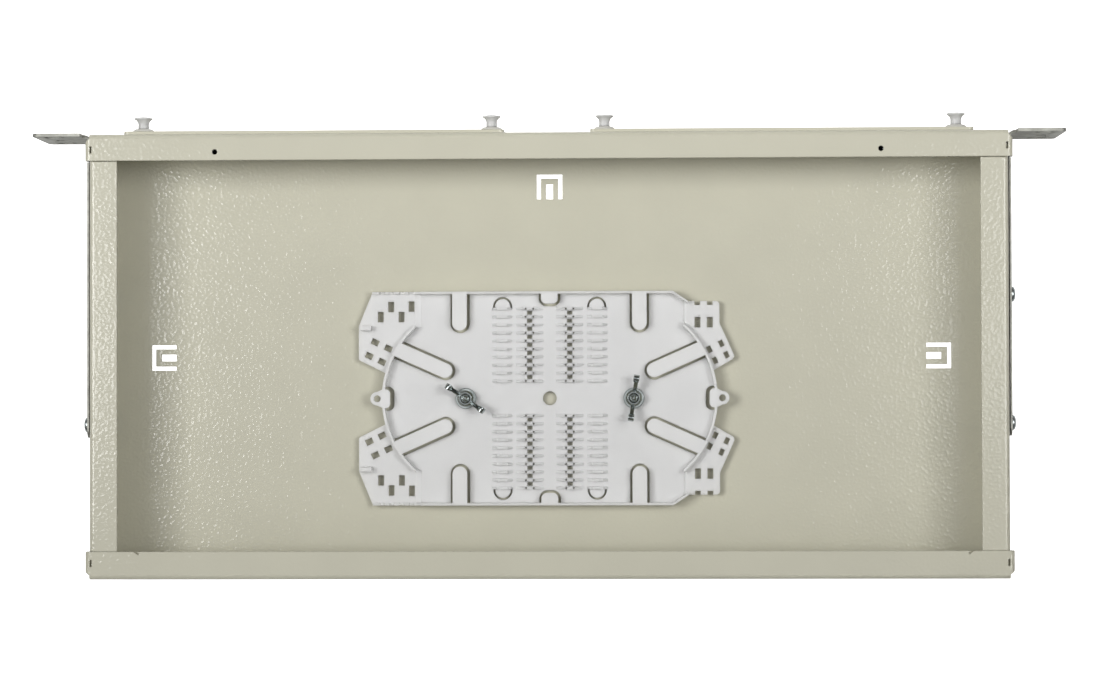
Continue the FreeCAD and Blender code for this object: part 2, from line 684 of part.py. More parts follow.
def finger(width, length, z0, z1, place, end_r=None):
    """Flat tongue from the origin along local +X, with a half-round end or rounded corners."""
    half = width / 2
    radius = half if end_r is None else end_r
    points = [V(0, -half, z0), V(0, half, z0), V(length, half, z0), V(length, -half, z0)]
    return moved(prism(points, [0, 0, radius, radius], V(0, 0, z1 - z0)), place)


def slant_reach():
    """Length of a slanted tongue from the middle of its round end to the arc rim."""
    off_x = SLANT_TONGUE_END_X - TRAY_ARC_CENTRE_X
    off_y = SLANT_TONGUE_END_Y
    slope = radians(SLANT_TONGUE_ANGLE)
    along = off_x * cos(slope) + off_y * sin(slope)
    rim = TRAY_ARC_R - TRAY_ARC_THICK / 2
    return sqrt(along ** 2 + rim ** 2 - off_x ** 2 - off_y ** 2) - along


def tray_tongues(grow, z0, z1):
    """All round-ended tongues, or with grow set, the wider openings under them."""
    rim_y = TRAY_HALF_DEPTH - TRAY_RIM_THICK / 2
    reach = slant_reach()
    slope = radians(SLANT_TONGUE_ANGLE)
    root_x = SLANT_TONGUE_END_X + reach * cos(slope)
    root_y = SLANT_TONGUE_END_Y + reach * sin(slope)
    shapes = []
    for up in (1, -1):
        shapes.append(finger(MIDDLE_TONGUE_WIDTH + 2 * grow, MIDDLE_TONGUE_LENGTH + grow, z0, z1,
                             at(0, up * rim_y, 0, -90 * up), MIDDLE_TONGUE_CORNER_R + grow))
        for way in (1, -1):
            shapes.append(finger(LONG_TONGUE_WIDTH + 2 * grow, LONG_TONGUE_LENGTH + grow,
                                 z0, z1, at(way * LONG_TONGUE_X, up * rim_y, 0, -90 * up)))
            turn = (180 if way > 0 else 0) + way * up * SLANT_TONGUE_ANGLE
            shapes.append(finger(SLANT_TONGUE_WIDTH + 2 * grow,
                                 reach + SLANT_TONGUE_WIDTH / 2 + grow, z0, z1,
                                 at(way * root_x, up * root_y, 0, turn)))
    return shapes


def end_tongue(way, grow_side, grow_end, z0, z1):
    """Short wide tongue at one end of the tray, or the opening under it."""
    outer = TRAY_ARC_CENTRE_X + TRAY_ARC_R
    root = outer - TRAY_ARC_THICK / 2
    tip = outer - END_TONGUE_LENGTH - grow_end
    half = END_TONGUE_WIDTH / 2 + grow_side
    points = [V(way * root, -half, z0), V(way * root, half, z0),
              V(way * tip, half, z0), V(way * tip, -half, z0)]
    return prism(points, [0, 0, half / 2, half / 2], V(0, 0, z1 - z0))


def clip_slit(x, up):
    """Arched slit in the floor that frees a small clip."""
    top = TRAY_HALF_DEPTH - CLIP_SLIT_SETBACK
    root = top - CLIP_SLIT_R - CLIP_SLIT_WIDTH / 2 - CLIP_SLIT_LEG
    place = at(x, up * root, 0, 90 * up)
    length = top - root
    wide = finger(2 * CLIP_SLIT_R + CLIP_SLIT_WIDTH, length, 0, TRAY_FLOOR, place)
    narrow = finger(2 * CLIP_SLIT_R - CLIP_SLIT_WIDTH, length - CLIP_SLIT_WIDTH, 0, TRAY_FLOOR, place)
    return wide.cut(narrow)


def comb_rows():
    """Y of each comb rib on the front half."""
    return [COMB_START_Y + COMB_PITCH * row for row in range(COMB_RIBS)]


def comb_ribs():
    """Tapered ribs that part the splice sleeves, in two columns on each side."""
    ribs = []
    for column, base in ((COMB_OUTER_X, COMB_OUTER_BASE), (COMB_INNER_X, COMB_INNER_BASE)):
        steps = [(-base / 2, 0), (base / 2, 0), (COMB_RIB_TOP / 2, COMB_RIB_HEIGHT),
                 (-COMB_RIB_TOP / 2, COMB_RIB_HEIGHT)]
        for way in (1, -1):
            for row in comb_rows():
                for up in (1, -1):
                    y = up * row - COMB_RIB_THICK / 2
                    points = [V(way * column + x, y, TRAY_FLOOR + z) for x, z in steps]
                    ribs.append(prism(points, [0] * 4, V(0, COMB_RIB_THICK, 0)))
    return ribs


def comb_pins():
    """Pin holes of the mould, down through both shoulders of each inner rib."""
    pins = []
    for column in (-COMB_INNER_X, COMB_INNER_X):
        for x in (column - COMB_PIN_X, column + COMB_PIN_X):
            for row in comb_rows():
                for y in (row, -row):
                    pins.append(round_bar(COMB_PIN_R, V(x, y, 0),
                                          V(x, y, TRAY_FLOOR + COMB_RIB_HEIGHT)))
    return pins


def comb_holes():
    """Mould holes between the inner ribs."""
    rows = [row + COMB_PITCH / 2 for row in comb_rows()[:-1]]
    return [plan_plate(rectangle(column, up * row, COMB_HOLE_WIDTH, COMB_HOLE_DEPTH), 0, 0, TRAY_FLOOR)
            for column in (-COMB_INNER_X, COMB_INNER_X) for row in rows for up in (1, -1)]


def tray_floor():
    """Floor between the rims, with round ends and all its openings."""
    edge = TRAY_NARROW_LEDGE_X - TRAY_CHAMFER_X
    step = TRAY_HALF_DEPTH - TRAY_CHAMFER_Y
    plan = [(-TRAY_WIDE_LEDGE_X, -TRAY_HALF_DEPTH), (edge, -TRAY_HALF_DEPTH),
            (TRAY_NARROW_LEDGE_X, -step), (TRAY_NARROW_LEDGE_X, step),
            (edge, TRAY_HALF_DEPTH), (-TRAY_WIDE_LEDGE_X, TRAY_HALF_DEPTH)]
    pieces = [plan_plate(plan, 0, 0, TRAY_FLOOR)]
    for way in (1, -1):
        middle = V(way * TRAY_ARC_CENTRE_X, 0, 0)
        pieces.append(round_bar(TRAY_ARC_R, middle, middle + Z_AXIS * TRAY_FLOOR))
    cuts = tray_tongues(TONGUE_GAP, 0, TRAY_FLOOR) + comb_holes()
    for way in (1, -1):
        cuts.append(end_tongue(way, TONGUE_GAP, END_TONGUE_GAP, 0, TRAY_FLOOR))
        for up in (1, -1):
            cuts.append(clip_slit(way * CLIP_SLIT_X, up))
    cuts.append(round_bar(TRAY_CENTRE_HOLE_R, V(0, 0, 0), V(0, 0, TRAY_FLOOR)))
    return one(pieces).cut(cuts)


def tray_rims():
    """Long rims, their chamfered ends by the narrow wings, and the arc rims at both ends."""
    edge = TRAY_NARROW_LEDGE_X - TRAY_CHAMFER_X
    wing_x = TRAY_RIM_END_X
    wing_y = NARROW_WING[0][1]
    shapes = []
    for up in (1, -1):
        shapes.append(box(-TRAY_WIDE_LEDGE_X, edge, up * (TRAY_HALF_DEPTH - TRAY_RIM_THICK),
                          up * TRAY_HALF_DEPTH, 0, TRAY_RIM))
        strip = [(edge, TRAY_HALF_DEPTH), (wing_x, wing_y), (wing_x, wing_y - TRAY_RIM_THICK),
                 (edge, TRAY_HALF_DEPTH - TRAY_RIM_THICK)]
        shapes.append(plan_plate([(x, up * y) for x, y in strip], 0, 0, TRAY_RIM))
    for way, ledge in ((1, TRAY_NARROW_LEDGE_X), (-1, TRAY_WIDE_LEDGE_X + TRAY_WIDE_RAMP)):
        middle = V(way * TRAY_ARC_CENTRE_X, 0, 0)
        top = middle + Z_AXIS * TRAY_RIM
        ring = round_bar(TRAY_ARC_R, middle, top).cut(round_bar(TRAY_ARC_R - TRAY_ARC_THICK, middle, top))
        keep = box(way * ledge, way * (TRAY_ARC_CENTRE_X + TRAY_ARC_R), -TRAY_ARC_R, TRAY_ARC_R, 0, TRAY_RIM)
        shapes.append(ring.common(keep))
    return shapes


def tray_ramp(way, up, ledge, ramp):
    """Sloping step between the floor and a raised wing."""
    arc_y = sqrt(TRAY_ARC_R ** 2 - (ledge + ramp - TRAY_ARC_CENTRE_X) ** 2)
    top_y = NARROW_WING[0][1] if way > 0 else TRAY_HALF_DEPTH
    steps = [(ledge, 0), (ledge + ramp, TRAY_WING_TOP - TRAY_FLOOR),
             (ledge + ramp, TRAY_WING_TOP), (ledge, TRAY_FLOOR)]
    points = [V(way * x, up * (arc_y - TRAY_ARC_THICK), z) for x, z in steps]
    return prism(points, [0] * 4, V(0, up * (top_y - arc_y + TRAY_ARC_THICK), 0))


def tray_wing(way, up, outline, radius, ledge, slots):
    """Raised cable wing with tie slots, set against the arc rim."""
    under = TRAY_WING_TOP - TRAY_FLOOR
    inside_y = TRAY_ARC_R / 2
    first_y = outline[0][1]
    corners = [(way * ledge, first_y)] + outline + [(way * ledge, inside_y)]
    radii = [0] + [radius] * (len(outline) - 1) + [0, 0]
    points = [V(x, up * y, under) for x, y in corners]
    wing = prism(points, radii, V(0, 0, TRAY_FLOOR))
    middle = V(way * TRAY_ARC_CENTRE_X, 0, under)
    cuts = [round_bar(TRAY_ARC_R - TRAY_ARC_THICK / 2, middle, middle + Z_AXIS * TRAY_FLOOR)]
    for x, y, width, depth, turn in slots:
        slot = box(-width / 2, width / 2, -depth / 2, depth / 2, under, TRAY_WING_TOP)
        cuts.append(moved(slot, at(x, up * y, 0, up * turn)))
    return wing.cut(cuts)


def wide_wing_trim(up):
    """Dipped edge rim and the short tab on a wide wing."""
    left = WIDE_WING[0][0]
    right = -TRAY_WIDE_LEDGE_X
    top = TRAY_WING_TOP + WING_EDGE_RIM
    rim = box(left, right, up * (TRAY_HALF_DEPTH - TRAY_RIM_THICK), up * TRAY_HALF_DEPTH,
              TRAY_WING_TOP, top)
    pitch = (right - left) / (WING_EDGE_DIPS + 1)
    dips = []
    for index in range(WING_EDGE_DIPS):
        x = left + pitch * (index + 1)
        dips.append(round_bar(WING_EDGE_DIP_R, V(x, up * (TRAY_HALF_DEPTH - TRAY_RIM_THICK), top),
                              V(x, up * TRAY_HALF_DEPTH, top)))
    x, y, width, depth = WING_NUB
    nub = plan_plate(rectangle(x, up * y, width, depth), 0, TRAY_WING_TOP, TRAY_RIM)
    return [rim.cut(dips), nub]


def tray_lug(way):
    """Small eye that stands out of the middle of an arc rim."""
    rim_x = TRAY_ARC_CENTRE_X + TRAY_ARC_R - TRAY_ARC_THICK / 2
    z0 = TRAY_RIM - 2 * TONGUE_THICK
    neck = [(way * rim_x, -END_TONGUE_WIDTH / 2), (way * LUG_X, -LUG_R), (way * LUG_X, LUG_R),
            (way * rim_x, END_TONGUE_WIDTH / 2)]
    return [plan_plate(neck, 0, z0, TRAY_RIM),
            round_bar(LUG_R, V(way * LUG_X, 0, z0), V(way * LUG_X, 0, TRAY_RIM))]


def splice_tray():
    """White moulded tray with rims, guide tongues, combs, cable wings and feet."""
    tongue_z = TRAY_RIM - TONGUE_THICK
    pieces = [tray_floor()] + tray_rims() + comb_ribs()
    pieces += tray_tongues(0, tongue_z, TRAY_RIM)
    cuts = comb_pins()
    for way in (1, -1):
        pieces.append(end_tongue(way, 0, 0, tongue_z, TRAY_RIM))
        pieces += tray_lug(way)
        pieces.append(round_bar(TRAY_BOSS_R, V(way * STUD_X, 0, -TRAY_BOSS), V(way * STUD_X, 0, 0)))
        cuts.append(round_bar(LUG_HOLE_R, V(way * LUG_X, 0, 0), V(way * LUG_X, 0, TRAY_RIM)))
        foot_top = STUD_FOOT + TRAY_STUD_HOLE_FIT - TRAY_BOSS
        cuts.append(round_bar(STUD_R + TRAY_STUD_HOLE_FIT, V(way * STUD_X, 0, -TRAY_BOSS),
                              V(way * STUD_X, 0, TRAY_FLOOR)))
        cuts.append(round_bar(STUD_FOOT_R + TRAY_STUD_HOLE_FIT, V(way * STUD_X, 0, -TRAY_BOSS),
                              V(way * STUD_X, 0, foot_top)))
    for up in (1, -1):
        pieces.append(tray_wing(-1, up, WIDE_WING, WIDE_WING_R, TRAY_WIDE_LEDGE_X + TRAY_WIDE_RAMP,
                                WIDE_WING_SLOTS))
        pieces.append(tray_wing(1, up, NARROW_WING, NARROW_WING_R, TRAY_NARROW_LEDGE_X + TRAY_NARROW_RAMP,
                                NARROW_WING_SLOTS))
        pieces.append(tray_ramp(-1, up, TRAY_WIDE_LEDGE_X, TRAY_WIDE_RAMP))
        pieces.append(tray_ramp(1, up, TRAY_NARROW_LEDGE_X, TRAY_NARROW_RAMP))
        pieces += wide_wing_trim(up)
    return moved(one(pieces).cut(cuts), at(0, TRAY_CENTRE_Y, TRAY_Z, 180))


def nodes():
    """Every separate piece of the box, by node name."""
    made = {"chassis_tray": chassis_tray(), "splice_tray": splice_tray()}
    for name, side in SIDES.items():
        made[name + "_adapter_panel"] = adapter_panel(name)
        for place, x in zip(("inner", "outer"), latch_places()[name]):
            made[f"{name}_{place}_latch_grommet"] = latch_grommet(x)
            made[f"{name}_{place}_latch_plunger"] = latch_plunger(x)
        made[name + "_rack_ear"] = rack_ear(side)
        made[name + "_ear_screws"] = ear_screws(name)
        made[name + "_ear_nuts"] = ear_nuts(name)
        made[name + "_tray_stud"] = tray_stud(side)
        made[name + "_tray_washer"] = tray_washer(side)
        made[name + "_wing_nut"] = wing_nut(name)
    return made


os.makedirs("parts", exist_ok=True)
for node, shape in nodes().items():
    shape.exportStep(f"parts/{node}.step")
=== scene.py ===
"""Looks of a rack-mount fibre distribution box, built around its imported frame."""
import json
import math

import bmesh
import bpy
from bpy.props import FloatProperty, FloatVectorProperty, PointerProperty
from bpy.types import Operator, Panel, PropertyGroup
from mathutils import Euler, Matrix, Vector


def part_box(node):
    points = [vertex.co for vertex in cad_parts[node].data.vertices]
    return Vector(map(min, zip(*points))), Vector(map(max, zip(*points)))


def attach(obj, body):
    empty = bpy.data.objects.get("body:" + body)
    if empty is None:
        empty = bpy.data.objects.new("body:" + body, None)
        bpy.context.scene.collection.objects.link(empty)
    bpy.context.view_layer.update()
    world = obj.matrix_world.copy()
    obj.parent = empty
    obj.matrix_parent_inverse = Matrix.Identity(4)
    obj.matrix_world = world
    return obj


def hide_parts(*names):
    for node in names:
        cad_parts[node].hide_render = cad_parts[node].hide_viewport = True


bl_info = {
    "name": "Fibre distribution box",
    "version": (1, 0, 0),
    "blender": (4, 5, 0),
    "location": "View3D > Sidebar > Fibre box",
    "description": "Dresses the pieces of a rack-mount fibre distribution box",
    "category": "Object",
}

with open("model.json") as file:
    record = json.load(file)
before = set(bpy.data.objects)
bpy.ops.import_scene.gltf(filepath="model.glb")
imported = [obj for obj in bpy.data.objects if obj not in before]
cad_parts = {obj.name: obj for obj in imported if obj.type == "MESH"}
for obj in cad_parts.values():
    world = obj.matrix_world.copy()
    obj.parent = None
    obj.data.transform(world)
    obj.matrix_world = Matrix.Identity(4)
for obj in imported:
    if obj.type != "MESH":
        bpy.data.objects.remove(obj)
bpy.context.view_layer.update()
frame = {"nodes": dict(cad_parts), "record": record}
SIDES = {"right": 1, "left": -1}
WHITE = (1.0, 1.0, 1.0)

# Width in pixels of the picture that the camera is set up for, and the camera's sensor in millimetres
PICTURE_WIDTH = 1094
SENSOR_WIDTH = 36.0

# Points nearer than this are one point, looser for the separate solids of a frame node
MERGE = 1e-7
NODE_MERGE = 1e-6

# Points this near to a plane lie on it
FLAT = 1e-5

# Edges that turn by more than this stay sharp
SHARP_ANGLE = math.radians(38)

# Steps round each turned piece
HUB_STEPS = 48
WASHER_STEPS = 64
SCREW_STEPS = 72
STUD_STEPS = 48
THREAD_STEPS = 32
COVER_NUT_STEPS = 40

# Sockets of a Mix node for its factor, its two colours and the mixed colour
MIX_FACTOR, MIX_FIRST, MIX_SECOND, MIX_RESULT = 0, 6, 7, 2

# Rays that feel for an edge, to soften it
EDGE_SAMPLES = 4


class FinishSettings(PropertyGroup):
    """Colours and surface values of the finishes."""

    coat_colour: FloatVectorProperty(
        name="Powder coat", description="Warm grey of the chassis and the panels",
        subtype="COLOR", default=(0.588, 0.572, 0.464), min=0, max=1)
    peel_size: FloatProperty(
        name="Orange peel size", description="Width of one swell of the powder coat",
        unit="LENGTH", default=0.0015)
    peel_depth: FloatProperty(
        name="Orange peel depth", description="Height of the swells of the powder coat",
        unit="LENGTH", default=0.000076)
    peel_drops: FloatProperty(
        name="Orange peel drops", description="Height of the drops, as a share of the swells'",
        default=0.2)
    peel_flange: FloatProperty(
        name="Flange peel", description="Height of the peel on the flanges, as a share of the floor's",
        default=0.65)
    coat_edge: FloatProperty(
        name="Coat edge", description="Radius that the coat gives to cut edges",
        unit="LENGTH", default=0.0008)
    tray_colour: FloatVectorProperty(
        name="Tray plastic", description="White of the moulded splice tray",
        subtype="COLOR", default=(0.77, 0.77, 0.765), min=0, max=1)
    nylon_colour: FloatVectorProperty(
        name="Latch nylon", description="Milky white of the latch plungers",
        subtype="COLOR", default=(0.58, 0.58, 0.575), min=0, max=1)
    grommet_colour: FloatVectorProperty(
        name="Grommet plastic", description="Pale grey of the latch grommets",
        subtype="COLOR", default=(0.66, 0.65, 0.60), min=0, max=1)
    ear_colour: FloatVectorProperty(
        name="Ear steel", description="Dull plate of the rack ears",
        subtype="COLOR", default=(0.40, 0.40, 0.36), min=0, max=1)
    zinc_colour: FloatVectorProperty(
        name="Zinc plate", description="Bluish plate of the screws and nuts",
        subtype="COLOR", default=(0.46, 0.50, 0.495), min=0, max=1)
    # Near black painted into the cover nuts' blind holes: painted shade that stands in for the dark depth
    # of the holes, not a colour of the threads.
    bore_shade_colour: FloatVectorProperty(
        name="Nut bore", description="Oiled threads inside the cover nuts",
        subtype="COLOR", default=(0.012, 0.012, 0.012), min=0, max=1)
    edge_softness: FloatProperty(
        name="Edge softness", description="Radius of the moulded edges",
        unit="LENGTH", default=0.00015)


class WingNutSettings(PropertyGroup):
    """Sizes of the two wing nuts."""

    hub_base: FloatProperty(
        name="Hub base", description="Radius of the hub at the washer",
        unit="LENGTH", default=0.0039)
    hub_top: FloatProperty(
        name="Hub top", description="Radius of the flat top of the hub",
        unit="LENGTH", default=0.0030)
    hub_height: FloatProperty(
        name="Hub height", description="Height of the hub", unit="LENGTH", default=0.006)
    bore: FloatProperty(
        name="Bore", description="Radius of the threaded hole", unit="LENGTH", default=0.00205)
    tip_x: FloatProperty(
        name="Tip distance", description="From the middle of the nut to the middle of a wing's tip",
        unit="LENGTH", default=0.0094)
    tip_z: FloatProperty(
        name="Tip height", description="Height of the middle of a wing's tip",
        unit="LENGTH", default=0.0080)
    tip_round: FloatProperty(
        name="Tip radius", description="Half width of the oval tip of a wing, seen from its side",
        unit="LENGTH", default=0.0018)
    tip_rise: FloatProperty(
        name="Tip rise", description="Half height of the oval tip of a wing, seen from its side",
        unit="LENGTH", default=0.0026)
    arm: FloatProperty(
        name="Arm thickness", description="Thickness of a wing near the hub",
        unit="LENGTH", default=0.0020)
    tip: FloatProperty(
        name="Tip thickness", description="Thickness of a wing at its tip",
        unit="LENGTH", default=0.0028)
    edge: FloatProperty(
        name="Edge radius", description="Radius of the edges of a wing",
        unit="LENGTH", default=0.0003)
    right_turn: FloatProperty(
        name="Right turn", description="Turn of the right nut", subtype="ANGLE",
        default=math.radians(-35))
    left_turn: FloatProperty(
        name="Left turn", description="Turn of the left nut", subtype="ANGLE",
        default=math.radians(82))


class FastenerSettings(PropertyGroup):
    """Sizes of the ear screws and the stud threads."""

    head: FloatProperty(
        name="Head radius", description="Radius of a screw's pan head",
        unit="LENGTH", default=0.0035)
    head_height: FloatProperty(
        name="Head height", description="Height of a screw's pan head",
        unit="LENGTH", default=0.0022)
    head_edge: FloatProperty(
        name="Head edge", description="Height of the straight edge of a pan head",
        unit="LENGTH", default=0.0009)
    recess: FloatProperty(
        name="Recess reach", description="From the middle to the end of an arm of the cross recess",
        unit="LENGTH", default=0.0019)
    recess_width: FloatProperty(
        name="Recess width", description="Width of an arm of the cross recess",
        unit="LENGTH", default=0.0009)
    recess_depth: FloatProperty(
        name="Recess depth", description="Depth of the cross recess",
        unit="LENGTH", default=0.0013)
    shank: FloatProperty(
        name="Shank radius", description="Radius of a screw's or a stud's thread",
        unit="LENGTH", default=0.002)
    thread_pitch: FloatProperty(
        name="Thread pitch", description="Rise of one turn of a thread",
        unit="LENGTH", default=0.0007)
    thread_depth: FloatProperty(
        name="Thread depth", description="Depth of a thread", unit="LENGTH", default=0.0003)
    screw_turn: FloatProperty(
        name="Screw turn", description="Turn from one screw's recess to the next",
        subtype="ANGLE", default=0.9)


class EarSettings(PropertyGroup):
    """Sizes of the gap between the box and the legs of its ears."""

    gap: FloatProperty(
        name="Gap", description="Width of the gap at the top of a leg", unit="LENGTH", default=0.0006)
    gap_depth: FloatProperty(
        name="Gap depth", description="How far down the gap reaches", unit="LENGTH", default=0.009)


class CoverNutSettings(PropertyGroup):
    """Sizes and places of the closed nuts under the two cover holes."""

    spacing: FloatProperty(
        name="Spacing", description="Distance between the two cover holes",
        unit="LENGTH", default=0.3116)
    setback: FloatProperty(
        name="Setback", description="From the front of the box to the cover holes",
        unit="LENGTH", default=0.0086)
    sheet: FloatProperty(
        name="Sheet", description="Thickness of the flange above the nuts",
        unit="LENGTH", default=0.0012)
    radius: FloatProperty(
        name="Radius", description="Outer radius of a nut", unit="LENGTH", default=0.0026)
    hole: FloatProperty(
        name="Hole", description="Radius of a nut's blind hole", unit="LENGTH", default=0.0012)
    length: FloatProperty(
        name="Length", description="How far a nut hangs below the flange",
        unit="LENGTH", default=0.0055)


class StageSettings(PropertyGroup):
    """Camera, floor and lights."""

    camera_place: FloatVectorProperty(
        name="Camera place", description="Where the camera stands",
        subtype="TRANSLATION", default=(-0.04555, 0.02238, 1.4603))
    camera_tilt: FloatVectorProperty(
        name="Camera tilt", description="How far the camera leans away from straight down",
        subtype="EULER", default=(math.radians(-1.005), math.radians(-1.844), math.radians(0.197)))
    focal_pixels: FloatProperty(
        name="Focal length in pixels", description="Focal length for the picture's width in pixels",
        default=3037.4)
    floor_colour: FloatVectorProperty(
        name="Floor colour", description="Plain pale floor",
        subtype="COLOR", default=(0.9, 0.9, 0.9), min=0, max=1)
    floor_glow: FloatProperty(
        name="Floor glow", description="Light that the floor throws back on the box", default=0.10)
    world_light: FloatProperty(
        name="World light", description="Even light from all round", default=0.05)
    right_power: FloatProperty(
        name="Right power", description="Power of the right soft light", unit="POWER", default=5.8)
    left_power: FloatProperty(
        name="Left power", description="Power of the left soft light", unit="POWER", default=4.0)
    ceiling_power: FloatProperty(
        name="Ceiling power", description="Power of the glow overhead", unit="POWER", default=10.4)
    ceiling_height: FloatProperty(
        name="Ceiling height", description="Height of the glow overhead", unit="LENGTH", default=2.2)
    ceiling_width: FloatProperty(
        name="Ceiling width", description="Width of the glow overhead", unit="LENGTH", default=2.6)
    right_place: FloatVectorProperty(
        name="Right place", description="Where the right soft light stands",
        subtype="TRANSLATION", default=(0.909, -0.219, 1.67))
    left_place: FloatVectorProperty(
        name="Left place", description="Where the left soft light stands",
        subtype="TRANSLATION", default=(-0.801, -0.219, 1.67))
    light_length: FloatProperty(
        name="Light length", description="Length of a soft light", unit="LENGTH", default=0.723)
    light_width: FloatProperty(
        name="Light width", description="Width of a soft light", unit="LENGTH", default=0.723)
    light_spread: FloatProperty(
        name="Light spread", description="How wide a soft light's beam opens",
        subtype="ANGLE", default=math.radians(82))
    aim_past: FloatProperty(
        name="Aim past", description="How far past the middle each soft light points",
        unit="LENGTH", default=0.376)
    aim_front: FloatProperty(
        name="Aim in front", description="How far in front of the middle the soft lights point",
        unit="LENGTH", default=0.621)


def settings(name):
    """One group of this scene's settings."""
    return getattr(bpy.context.scene, "fibre_box_" + name)


# Meshes

def middle_of(low, high):
    """Middle of a box in x and y."""
    return (low[0] + high[0]) / 2, (low[1] + high[1]) / 2


def piece_from(mesh, body, slot, replaced=()):
    """Puts a finished mesh into the scene as a piece that rides on a body."""
    mesh.materials.clear()
    mesh.materials.append(finish(slot))
    piece = bpy.data.objects.new(mesh.name, mesh)
    bpy.context.scene.collection.objects.link(piece)
    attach(piece, body)
    if replaced:
        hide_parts(*replaced)


def soft_edges(mesh):
    """Smooth shading with sharp edges kept."""
    mesh.polygons.foreach_set("use_smooth", [True] * len(mesh.polygons))
    mesh.set_sharp_from_angle(angle=SHARP_ANGLE)


def mesh_from(bm, name):
    """Turns a bmesh into a mesh, with its faces pointing outwards."""
    bmesh.ops.remove_doubles(bm, verts=bm.verts, dist=MERGE)
    bmesh.ops.recalc_face_normals(bm, faces=bm.faces)
    mesh = bpy.data.meshes.new(name)
    bm.to_mesh(mesh)
    bm.free()
    soft_edges(mesh)
    return mesh


def lathe(bm, profile, steps, sink=None):
    """Turns a profile of radius and height about Z. A sink lowers points by their x and y."""
    rings = []
    for radius, height in profile:
        if radius < MERGE:
            drop = sink(0.0, 0.0) if sink else 0.0
            rings.append([bm.verts.new((0, 0, height - drop))] * steps)
            continue
        ring = []
        for step in range(steps):
            turn = 2 * math.pi * step / steps
            x = radius * math.cos(turn)
            y = radius * math.sin(turn)
            drop = sink(x, y) if sink else 0.0
            ring.append(bm.verts.new((x, y, height - drop)))
        rings.append(ring)
    for low, high in zip(rings, rings[1:]):
        for step in range(steps):
            after = (step + 1) % steps
            corners = []
            for vert in (low[step], low[after], high[after], high[step]):
                if vert not in corners:
                    corners.append(vert)
            bm.faces.new(corners)


def loft(bm, sections):
    """Closed skin over rings of points, with both ends capped."""
    rings = [[bm.verts.new(point) for point in section] for section in sections]
    for low, high in zip(rings, rings[1:]):
        count = len(low)
        for step in range(count):
            after = (step + 1) % count
            bm.faces.new((low[step], low[after], high[after], high[step]))
    bm.faces.new(list(reversed(rings[0])))
    bm.faces.new(rings[-1])


def helper_object(mesh):
    """Object that only lends its mesh to a modifier or a node tree."""
    helper = bpy.data.objects.new(mesh.name + "_source", mesh)
    bpy.context.scene.collection.objects.link(helper)
    return helper


def remove_helper(helper):
    """Takes a helper object and its mesh away."""
    mesh = helper.data
    bpy.data.objects.remove(helper)
    bpy.data.meshes.remove(mesh)


def baked(helper, name):
    """Plain mesh of a helper with its modifiers applied. The helper is removed."""
    depsgraph = bpy.context.evaluated_depsgraph_get()
    mesh = bpy.data.meshes.new_from_object(helper.evaluated_get(depsgraph))
    mesh.name = name
    remove_helper(helper)
    return mesh


def combine(helper, other, operation):
    """Joins another helper to a helper, or cuts it out."""
    modifier = helper.modifiers.new(operation.lower(), "BOOLEAN")
    modifier.operation = operation
    modifier.solver = "EXACT"
    modifier.object = other


def fused(meshes, name):
    """One closed mesh from meshes that cross each other."""
    first = helper_object(meshes[0])
    others = [helper_object(mesh) for mesh in meshes[1:]]
    for other in others:
        combine(first, other, "UNION")
    mesh = baked(first, name)
    for other in others:
        remove_helper(other)
    return mesh


def joined(meshes, name):
    """One mesh that holds several meshes side by side."""
    bm = bmesh.new()
    for mesh in meshes:
        bm.from_mesh(mesh)
        bpy.data.meshes.remove(mesh)
    for face in bm.faces:
        face.material_index = 0
    mesh = bpy.data.meshes.new(name)
    bm.to_mesh(mesh)
    bm.free()
    soft_edges(mesh)
    return mesh


# Shader node helpers

def new_material(name):
    """Node tree of a new material, and the shader in it."""
    material = bpy.data.materials.new(name)
    material.use_nodes = True
    tree = material.node_tree
    return tree, tree.nodes["Principled BSDF"]


def set_inputs(node, **values):
    """Sets a node's inputs by name, with underscores for spaces."""
    for name, value in values.items():
        node.inputs[name.replace("_", " ")].default_value = value


def add_node(tree, kind, **values):
    """Adds a node and sets its plain inputs."""
    node = tree.nodes.new(kind)
    set_inputs(node, **values)
    return node


def link(tree, start, end):
    """Joins an output socket to an input socket."""
    tree.links.new(start, end)


def colour(rgb):
    """A colour with full alpha."""
    return (*rgb, 1.0)


def noise(tree, vector, scale, detail=2.0, roughness=0.5):
    """Noise texture on given coordinates. Scale is a socket."""
    node = add_node(tree, "ShaderNodeTexNoise", Detail=detail, Roughness=roughness)
    link(tree, vector, node.inputs["Vector"])
    link(tree, scale, node.inputs["Scale"])
    return node.outputs["Fac"]


def maths(tree, operation, first, second):
    """One sum on two values, each a number or a socket."""
    node = tree.nodes.new("ShaderNodeMath")
    node.operation = operation
    for socket, value in zip(node.inputs, (first, second)):
        if isinstance(value, (int, float)):
            socket.default_value = value
        else:
            link(tree, value, socket)
    return node.outputs[0]


def to_range(tree, value, low, high, to_low, to_high):
    """Maps a value from one range to another, with smooth ends."""
    node = tree.nodes.new("ShaderNodeMapRange")
    node.interpolation_type = "SMOOTHSTEP"
    set_inputs(node, From_Min=low, From_Max=high, To_Min=to_low, To_Max=to_high)
    link(tree, value, node.inputs["Value"])
    return node.outputs["Result"]


def tinted(tree, rgb, tone):
    """A plain colour multiplied by a tone that changes over the surface."""
    node = tree.nodes.new("ShaderNodeMix")
    node.data_type = "RGBA"
    node.blend_type = "MULTIPLY"
    node.inputs[MIX_FACTOR].default_value = 1.0
    node.inputs[MIX_FIRST].default_value = colour(rgb)
    link(tree, tone, node.inputs[MIX_SECOND])
    return node.outputs[MIX_RESULT]


